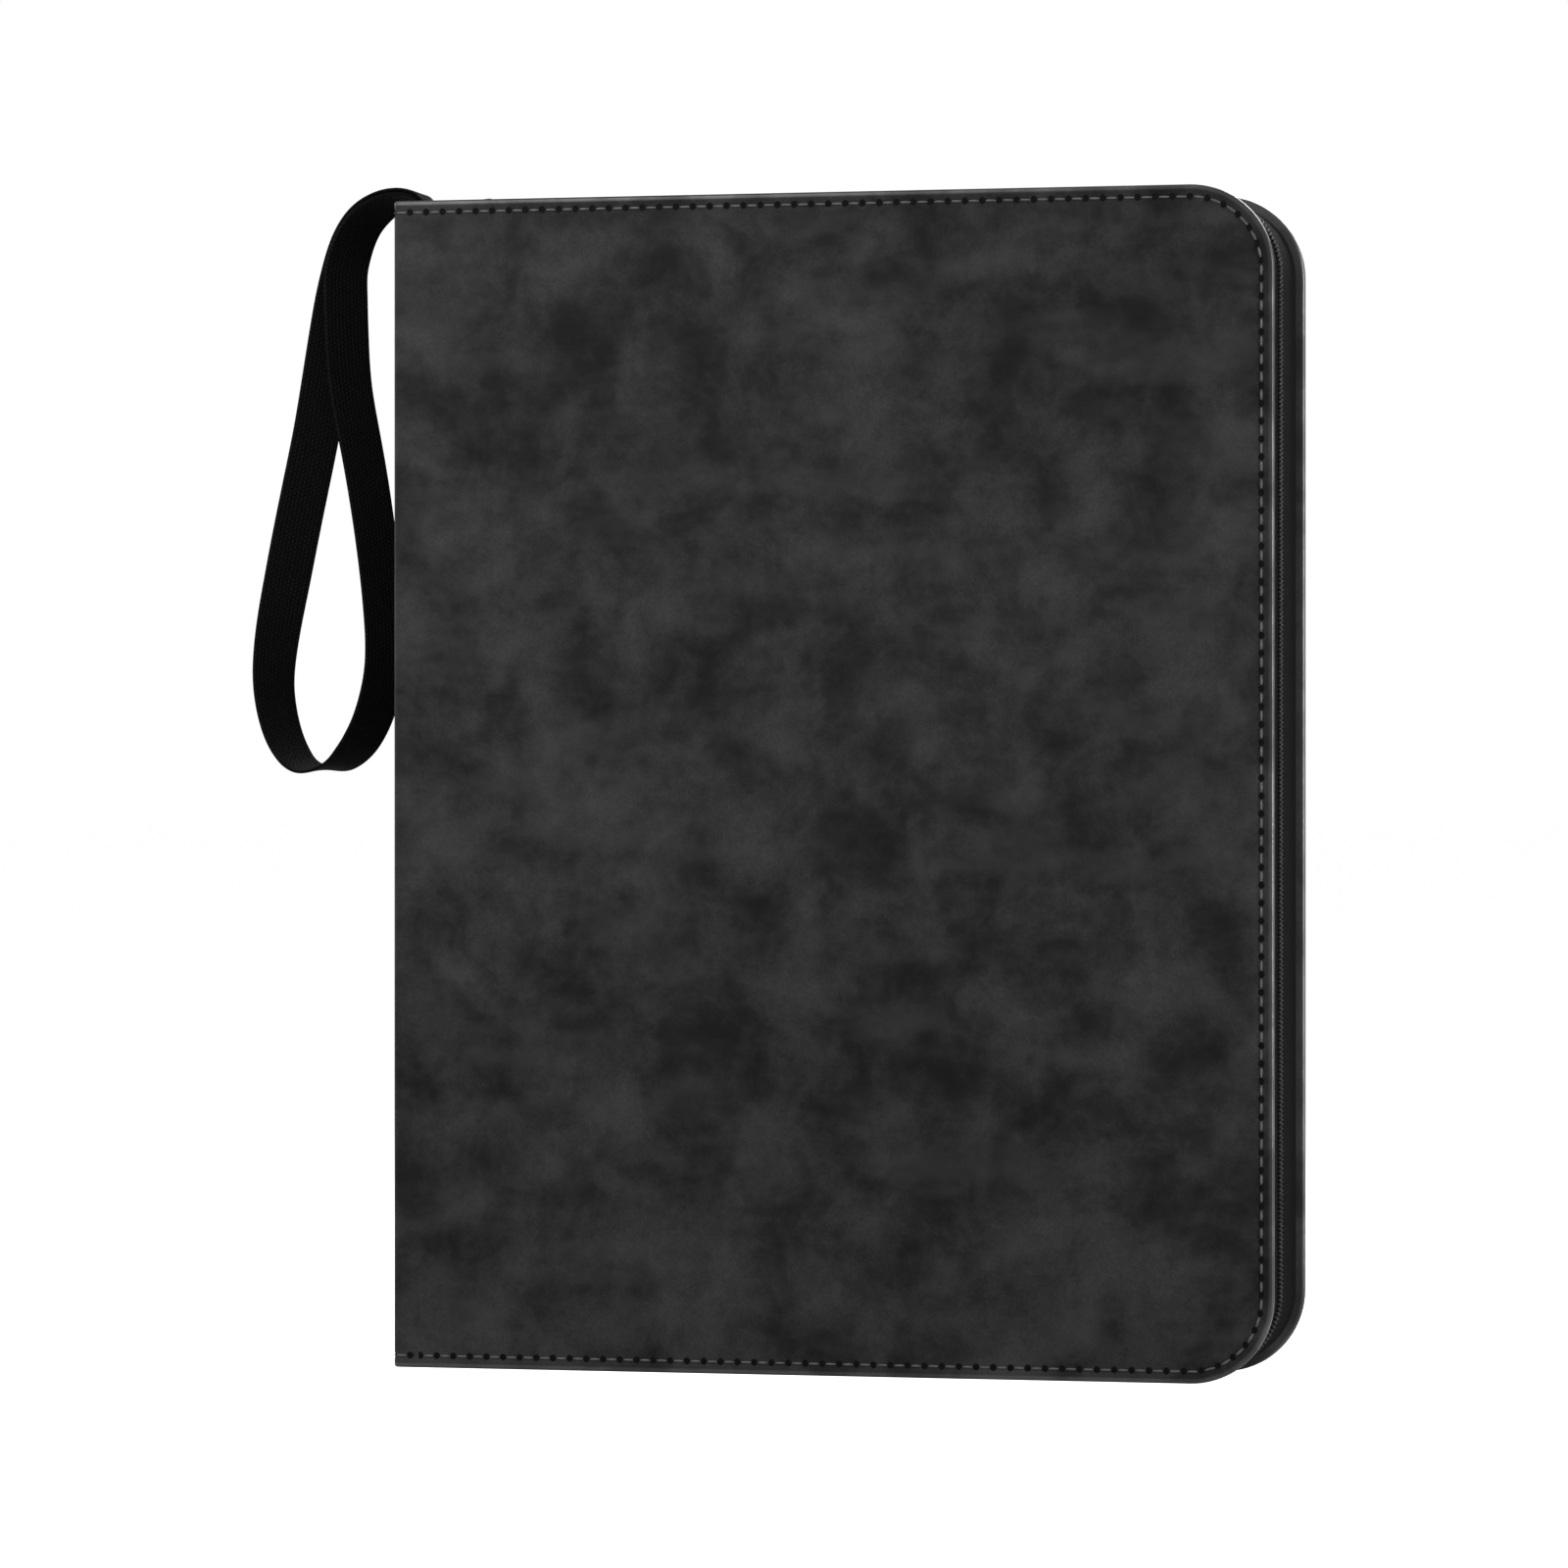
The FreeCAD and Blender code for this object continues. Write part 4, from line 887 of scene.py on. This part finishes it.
def pull_tab():
    """A flat tab with a sunk panel on each face, forked at one end, and the pin through the fork."""
    bm = bmesh.new()
    middle = (pull_low + pull_high) / 2
    half = (pull_high.y - pull_low.y) / 2
    upper = [(bridge_x - FORK_BACK, FORK_IN), (bridge_x - FORK_BACK, FORK_OUT), (bridge_x + NECK, FORK_OUT),
             (bridge_x + SHOULDER, half - TAPER), (bridge_x + WAIST, half), (pull_high.x, half)]
    lower = [(x, -y) for x, y in reversed(upper)]
    crotch = [(bridge_x + CROTCH, -FORK_IN), (bridge_x + CROTCH, FORK_IN)]
    verts = [bm.verts.new((x, middle.y + y, pull_low.z)) for x, y in upper + lower + crotch]
    bm.faces.new(verts)
    ends = [vert for vert in verts if vert.co.x > pull_high.x - 1e-6]
    rounded_off(bm, ends, PULL_CORNER, 6, "VERTICES")
    grow(bm, bm.faces[:], (0, 0, pull_high.z - pull_low.z))
    bmesh.ops.recalc_face_normals(bm, faces=bm.faces)
    flats = [face for face in bm.faces if abs(face.normal.z) > 0.9]
    rounded_off(bm, edges_of(flats), PULL_ROUNDING, 2)
    for direction in (1, -1):
        face = facing(bm, (0, 0, direction))
        for width, depth in ((PANEL_BORDER, 0.0), (PANEL_WALL, -PANEL_DEPTH)):
            bmesh.ops.inset_region(bm, faces=[face], thickness=width, depth=depth, use_even_offset=True)
    axle = Matrix.Translation((bridge_x, middle.y, middle.z)) @ Matrix.Rotation(math.pi / 2, 4, "X")
    bmesh.ops.create_cone(bm, cap_ends=True, segments=16, radius1=PIN_RADIUS, radius2=PIN_RADIUS,
                          depth=2 * FORK_OUT - PIN_SHORT, matrix=axle)
    return bm


pull = finished(pull_tab(), "pull_tab", "zip_pull", enamel)
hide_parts("zip_pull")

# ---------------------------------------------------------------- ring mechanism
# A nickel-plated sheet housing is riveted to the spine. Two sprung steel blades lie in it edge to
# edge, each carrying three half rings of round wire, and a lever at each end tips them apart.


def plated(name, dark, light, rough_low, rough_high, scale, stretch=(1, 1, 1)):
    """Polished or brushed plating: a metal whose colour and roughness drift a little."""
    material, tree, shader = material_of(name, Metallic=1.0)
    grain = node(tree, "ShaderNodeMapping", {"Vector": object_place(tree), "Scale": stretch})
    streak = noise(tree, grain.outputs[0], scale, 4.0)
    feed(shader, "Base Color", mix_colour(tree, streak, dark, light))
    rough = smooth_range(tree, streak, 0.3, 0.7, rough_low, rough_high)
    feed(shader, "Roughness", rough)
    add_bump(tree, shader, streak, 0.25, 0.00004)
    return material


NICKEL_SHADES = ((0.50, 0.49, 0.47, 1), (0.66, 0.65, 0.62, 1))
STEEL_SHADES = ((0.28, 0.28, 0.29, 1), (0.42, 0.42, 0.43, 1))
ROLLED = (1, 1, 0.06)
nickel = plated("nickel_plate", *NICKEL_SHADES, 0.14, 0.26, 90.0)
steel = plated("rolled_steel", *STEEL_SHADES, 0.30, 0.48, 220.0, ROLLED)
finish_with(nickel, "ring_housing", "housing_rivets", "lever_pins", "bottom_lever", "top_lever")
finish_with(steel, "ring_blade_front", "ring_blade_rear")

rings_low, rings_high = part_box("half_rings_front")
WIRE = 0.0015
FOOT_SUNK = 0.0001
TIP_ANGLE = math.radians(0.4)
RING_STEPS = 40
ring_radius = -rings_low.y - WIRE
ring_x = rings_high.x - ring_radius - WIRE
ring_zs = (rings_low.z + WIRE, (rings_low.z + rings_high.z) / 2, rings_high.z - WIRE)
foot_angle = math.acos((ring_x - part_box("ring_blade_front")[0].x - FOOT_SUNK) / (ring_radius + WIRE))


def half_rings(side):
    """Three half rings of round wire, each bent from its tip at the middle to its foot in the blade."""
    bm = bmesh.new()
    for ring_z in ring_zs:
        centre = (ring_x, 0, ring_z)
        tip = Matrix.Translation((ring_x + ring_radius, 0, ring_z)) @ Matrix.Rotation(math.pi / 2, 4, "X")
        verts = bmesh.ops.create_circle(bm, cap_ends=True, segments=16, radius=WIRE, matrix=tip)["verts"]
        bmesh.ops.rotate(bm, cent=centre, matrix=Matrix.Rotation(-TIP_ANGLE, 3, "Z"), verts=verts)
        disc = list(verts[0].link_faces)
        bmesh.ops.spin(bm, geom=disc + edges_of(verts) + verts, cent=centre, axis=(0, 0, -1),
                       angle=math.pi - foot_angle - TIP_ANGLE, steps=RING_STEPS)
    if side == "rear":
        mirrored(bm)
    rings = finished(bm, f"wire_half_rings_{side}", f"ring_half_{side}", nickel)
    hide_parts(f"half_rings_{side}")


for side in ("front", "rear"):
    half_rings(side)

# ---------------------------------------------------------------- pages
# Twenty nine-pocket pages of black polypropylene. Clear film is welded over both faces in a grid of
# three by three, which leaves the weld lines between the pockets and a plain punched edge.
PUNCHED_EDGE = 0.0150
WELD = 0.0016
FILM = 0.00005
FILM_ROUNDING = 0.00003
GRID = 3
PAGE_DARK = (0.010, 0.010, 0.011, 1)
PAGE_LIGHT = (0.022, 0.022, 0.024, 1)
FILM_DARK = (0.016, 0.016, 0.018, 1)
FILM_LIGHT = (0.034, 0.034, 0.038, 1)


def polypropylene():
    """Matt black sheet with a fine moulded grain."""
    material, tree, shader = material_of("page_black", Roughness=0.55)
    place = object_place(tree)
    colour = mix_colour(tree, noise(tree, place, 20.0, 3.0), PAGE_DARK, PAGE_LIGHT)
    feed(shader, "Base Color", colour)
    grain = node(tree, "ShaderNodeTexVoronoi", {"Vector": place, "Scale": 900.0})
    add_bump(tree, shader, grain.outputs["Distance"], 0.4, 0.00006)
    return material


def pocket_film():
    """Clear film over the black sheet: a glossy skin with slow ripples."""
    material, tree, shader = material_of("pocket_film", Coat_Weight=0.3, Coat_Roughness=0.18)
    ripple = noise(tree, object_place(tree), 15.0, 1.0, Distortion=0.2)
    feed(shader, "Base Color", mix_colour(tree, ripple, FILM_DARK, FILM_LIGHT))
    feed(shader, "Roughness", smooth_range(tree, ripple, 0.3, 0.7, 0.26, 0.38))
    add_bump(tree, shader, ripple, 0.4, 0.0012)
    return material


page_black = polypropylene()
film = pocket_film()
page_names = sorted(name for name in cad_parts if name.startswith("page_"))
page_low, page_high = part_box(page_names[0])
pocket_wide = (page_high.x - page_low.x - PUNCHED_EDGE - (GRID + 1) * WELD) / GRID
pocket_tall = (page_high.z - page_low.z - (GRID + 1) * WELD) / GRID


def page_pockets(name):
    """The film of nine pockets on each face of one page."""
    bm = bmesh.new()
    low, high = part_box(name)
    for surface in (low.y, high.y):
        for column in range(GRID):
            left = low.x + PUNCHED_EDGE + WELD + column * (pocket_wide + WELD)
            for level in range(GRID):
                foot = low.z + WELD + level * (pocket_tall + WELD)
                rounded_box(bm, (left, surface - FILM, foot),
                            (left + pocket_wide, surface + FILM, foot + pocket_tall), FILM_ROUNDING, 1)
    pockets = finished(bm, f"{name}_pockets", name, film)


for name in page_names:
    page_pockets(name)
finish_with(page_black, *page_names)

# ---------------------------------------------------------------- wrist strap
# One length of flat black polypropylene webbing, with both ends sewn side by side into the top of the
# spine. It bends over the spine's top edge and parts into two legs, which meet in a turn at the foot.
# The outer leg's outward face is turned part of the way to the rear and the inner leg's to the front.
STRAP_WIDTH = 0.015
STRAP_THICK = 0.0011
PLY_OFFSET = 0.00065
tail_low, tail_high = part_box("strap_tail")
tail_x = (tail_low.x + tail_high.x) / 2
# Stations down the middle of the webbing, in millimetres from the tail's top: x, z, and the angle of
# its width in degrees, where 90 lies straight from front to rear.
CREST = [
    (0.0, 1.35, 90), (-0.9, 2.7, 90), (-3.0, 3.6, 92), (-6.2, 3.7, 97), (-9.8, 2.8, 104),
    (-13.4, 1.0, 112), (-17.0, -1.4, 118), (-20.0, -4.4, 122), (-22.4, -8.4, 126), (-24.3, -13.2, 130),
    (-25.9, -19.2, 133),
]
OUTER_LEG = [
    (-27.3, -25.2, 136), (-28.5, -31.3, 138), (-31.0, -46.5, 141), (-33.9, -64.9, 143),
    (-36.5, -77.1, 143), (-39.2, -89.4, 143), (-41.8, -101.6, 143), (-44.2, -113.9, 142),
    (-46.7, -126.1, 138), (-48.2, -137.4, 132), (-48.4, -144.5, 128), (-47.7, -150.7, 126),
    (-46.3, -156.8, 124), (-44.6, -161.4, 121), (-42.9, -164.5, 118), (-40.7, -167.6, 114),
    (-37.6, -169.9, 105),
]
TURN = [(-33.2, -170.7, 92)]
INNER_LEG = [
    (-28.8, -169.4, 78), (-26.0, -167.6, 69), (-22.8, -164.6, 62), (-20.4, -161.4, 58),
    (-17.8, -156.8, 56), (-15.6, -150.8, 54), (-14.0, -144.7, 53), (-13.1, -138.6, 52),
    (-13.0, -132.4, 52), (-13.3, -126.3, 52), (-14.4, -114.1, 52), (-16.0, -101.8, 52),
    (-17.8, -89.6, 51), (-19.9, -77.3, 50), (-22.4, -65.0, 49), (-24.2, -55.8, 48), (-25.1, -46.6, 47),
    (-25.5, -37.4, 46), (-25.7, -31.3, 46), (-25.8, -25.2, 46),
]


def strap_stations():
    """A place for each station of the webbing: X across its width, Y out of its face, Z along it."""
    marks = [(*mark, 1) for mark in CREST + OUTER_LEG]
    marks += [(*mark, 0) for mark in TURN]
    marks += [(*mark, 1) for mark in INNER_LEG]
    marks += [(x, z, 180 - turn, 1) for x, z, turn in reversed(CREST)]
    line = [Vector((tail_x + x / 1000, 0, top_z + z / 1000)) for x, z, _, _ in marks]
    places = []
    for index, (_, _, turn, ply) in enumerate(marks):
        along = (line[min(index + 1, len(line) - 1)] - line[max(index - 1, 0)]).normalized()
        if index in (0, len(line) - 1):
            along = Vector((0, 0, 1 if index == 0 else -1))
        across = Vector((0, 1, 0)).cross(along).normalized()
        angle = math.radians(turn)
        wide = across * math.cos(angle) + Vector((0, 1, 0)) * math.sin(angle)
        out = wide.cross(along).normalized()
        centre = line[index] + out * PLY_OFFSET * ply
        places.append(Matrix.Translation(centre) @ Matrix((wide, out, along)).transposed().to_4x4())
    return places


CORD_PITCH = 0.00125
WEBBING_PICK = 0.0013
# Painted shade between the ribs and painted highlight on their tops.
WEBBING_SHADED = (0.0014, 0.0013, 0.0014, 1)
WEBBING_LIT = (0.0092, 0.0086, 0.0090, 1)


def webbing_finish(name, vector_of):
    """Tight tubular webbing: short ribs in rows along its length, painted darker between the ribs as shade
    and lighter on their tops as a highlight, and a little lighter where rubbed.
    """
    material, tree, shader = material_of(name, Roughness=0.9, Specular_IOR_Level=0.06)
    wide, run, _ = node(tree, "ShaderNodeSeparateXYZ", {0: vector_of(tree)}).outputs
    cord = maths(tree, "MULTIPLY", wide, 1 / CORD_PITCH)
    rows = maths(tree, "ABSOLUTE", maths(tree, "SINE", maths(tree, "MULTIPLY", cord, math.pi)))
    odd = maths(tree, "MODULO", maths(tree, "FLOOR", cord), 2.0)
    pick = maths(tree, "MULTIPLY_ADD", odd, 0.5, maths(tree, "MULTIPLY", run, 1 / WEBBING_PICK))
    picks = maths(tree, "ABSOLUTE", maths(tree, "SINE", maths(tree, "MULTIPLY", pick, math.pi)))
    height = maths(tree, "MULTIPLY", maths(tree, "POWER", rows, 0.6), maths(tree, "POWER", picks, 0.6))
    fuzz = noise(tree, object_place(tree), 1100.0, 3.0)
    # The colour follows the ribs' height as painted shade and highlight, scaled by the rubbed fuzz.
    relief_shade = maths(tree, "MULTIPLY", height, smooth_range(tree, fuzz, 0.3, 0.7, 0.6, 1.2))
    feed(shader, "Base Color", mix_colour(tree, relief_shade, WEBBING_SHADED, WEBBING_LIT))
    add_bump(tree, shader, height, 0.8, 0.00018)
    return material


webbing = webbing_finish("webbing", lambda tree: node(tree, "ShaderNodeUVMap", uv_map="webbing").outputs[0])
sewn_webbing = webbing_finish("sewn_webbing", lambda tree: flat_coordinates(tree, "Y", "Z"))
finish_with(sewn_webbing, "strap_tail")
ACROSS = (-1.0, -0.94, -0.6, -0.2, 0.2, 0.6, 0.94, 1.0)
SELVEDGE = 0.55


def webbing_section(bm, place):
    """The end face of the webbing, in the plane across a station."""
    half, thick = STRAP_WIDTH / 2, STRAP_THICK / 2
    front = [(share * half, thick * (SELVEDGE if abs(share) == 1 else 1.0)) for share in ACROSS]
    back = [(x, -y) for x, y in reversed(front)]
    verts = [bm.verts.new(place @ Vector((x, y, 0))) for x, y in front + back]
    return bm.faces.new(verts)


def webbing_run(name, places, levels):
    """Sweeps the webbing from station to station, maps it in metres across and along, and smooths
    its bends if given levels."""
    bm = bmesh.new()
    run_of = bm.verts.layers.float.new("run")
    wide_of = bm.verts.layers.float.new("wide")
    face = webbing_section(bm, places[0])
    start = places[0].inverted()
    for vert in face.verts:
        vert[wide_of] = (start @ vert.co).x
    geometry = [face] + list(face.edges) + list(face.verts)
    run = 0.0
    for before, after in zip(places, places[1:]):
        grown = bmesh.ops.extrude_face_region(bm, geom=geometry)
        geometry = grown["geom"]
        moved = [item for item in geometry if isinstance(item, bmesh.types.BMVert)]
        bmesh.ops.transform(bm, matrix=after @ before.inverted(), verts=moved)
        run += (after.translation - before.translation).length
        for vert in moved:
            vert[run_of] = run
    layer = bm.loops.layers.uv.new("webbing")
    for face in bm.faces:
        for loop in face.loops:
            loop[layer].uv = (loop.vert[wide_of], loop.vert[run_of])
    piece = finished(bm, name, None, webbing)
    if levels:
        smooth = piece.modifiers.new("smooth", "SUBSURF")
        smooth.levels = smooth.render_levels = levels
    return piece


strap_places = strap_stations()
strap = webbing_run("strap_loop", strap_places, 2)
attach(strap, "wrist_strap")
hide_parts("wrist_strap")

# Where each end leaves the spine, a short length joins the sewn tail to the loop and bends with it.
ROOT_DEPTH = 0.0020
ROOT_OVERLAP = 0.0004
ROOT_STEPS = 6
root_ends = {"strap_root_front": strap_places[0], "strap_root_rear": strap_places[-1]}
for name, place in root_ends.items():
    lift = place.translation.z + ROOT_OVERLAP - (top_z - ROOT_DEPTH)
    places = []
    for step in range(ROOT_STEPS + 1):
        upright = place.copy()
        upright.translation.z = top_z - ROOT_DEPTH + lift * step / ROOT_STEPS
        places.append(upright)
    if place is strap_places[-1]:
        places.reverse()
    root = webbing_run(name, places, 0)
    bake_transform(root)

# ---------------------------------------------------------------- stage
# A plain pale floor that runs off into white, and soft studio light from both sides and from above.
# The camera is level with the middle of the cover and looks at it a little from the zip side.
WHITE = (1, 1, 1, 1)
FLOOR_HALF = 30.0
FLOOR_GREY = (0.6, 0.6, 0.6, 1)
FLOOR_GLOW = 0.93
SKY_LIGHT = 0.11
scene = bpy.context.scene


def camera_only(tree, unseen, seen):
    """One value where the camera looks straight at a surface, and another for the light it gives."""
    ray = node(tree, "ShaderNodeLightPath").outputs["Is Camera Ray"]
    return node(tree, "ShaderNodeMapRange", {"Value": ray, "To Min": unseen, "To Max": seen}).outputs[0]


pale, pale_tree, pale_shader = material_of(
    "pale_floor", Roughness=0.95, Base_Color=FLOOR_GREY, Specular_IOR_Level=0.0, Emission_Color=WHITE)
feed(pale_shader, "Emission Strength", camera_only(pale_tree, 0.0, FLOOR_GLOW))
floor_bm = bmesh.new()
bmesh.ops.create_grid(floor_bm, x_segments=1, y_segments=1, size=FLOOR_HALF)
floor = finished(floor_bm, "floor", None, pale)
floor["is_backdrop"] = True

world = bpy.data.worlds.new("studio")
scene.world = world
world.use_nodes = True
sky = world.node_tree.nodes["Background"]
sky.inputs["Color"].default_value = WHITE
feed(sky, "Strength", camera_only(world.node_tree, SKY_LIGHT, 1.0))

VIEW_TURN = math.radians(15.0)
DISTANCE, OFFSET, LENS = 2.231, -0.1175, 170.4
SENSOR = 36
right = Vector((math.cos(VIEW_TURN), math.sin(VIEW_TURN), 0))
ahead = Vector((-math.sin(VIEW_TURN), math.cos(VIEW_TURN), 0))
camera = bpy.data.objects.new("camera", bpy.data.cameras.new("camera"))
scene.collection.objects.link(camera)
camera.data.lens = LENS
camera.data.sensor_width = SENSOR
camera.location = Vector((spine_x, front_y, (bottom_z + top_z) / 2)) - right * OFFSET - ahead * DISTANCE
camera.rotation_euler = ahead.to_track_quat("-Z", "Y").to_euler()
scene.camera = camera
scene.view_settings.view_transform = "Standard"

# Each light's name, place, width, height and power.
LIGHTS = (
    ("key", (-0.28, -0.56, 0.68), 0.75, 0.75, 8.6),
    ("right_strip", (1.5, -0.12, 0.30), 0.25, 0.90, 36),
    ("left_strip", (-1.3, 0.42, 0.30), 0.25, 0.90, 14),
    ("back_fill", (0.3, 0.9, 0.8), 0.60, 0.60, 9),
)
case_middle = Vector(((spine_x + zip_x) / 2, 0, (bottom_z + top_z) / 2))
for name, place, wide, tall, power in LIGHTS:
    lamp = bpy.data.lights.new(name, "AREA")
    lamp.shape = "RECTANGLE"
    lamp.size = wide
    lamp.size_y = tall
    lamp.energy = power
    light = bpy.data.objects.new(name, lamp)
    scene.collection.objects.link(light)
    light.location = place
    light.rotation_euler = (case_middle - Vector(place)).to_track_quat("-Z", "Y").to_euler()

low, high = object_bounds()
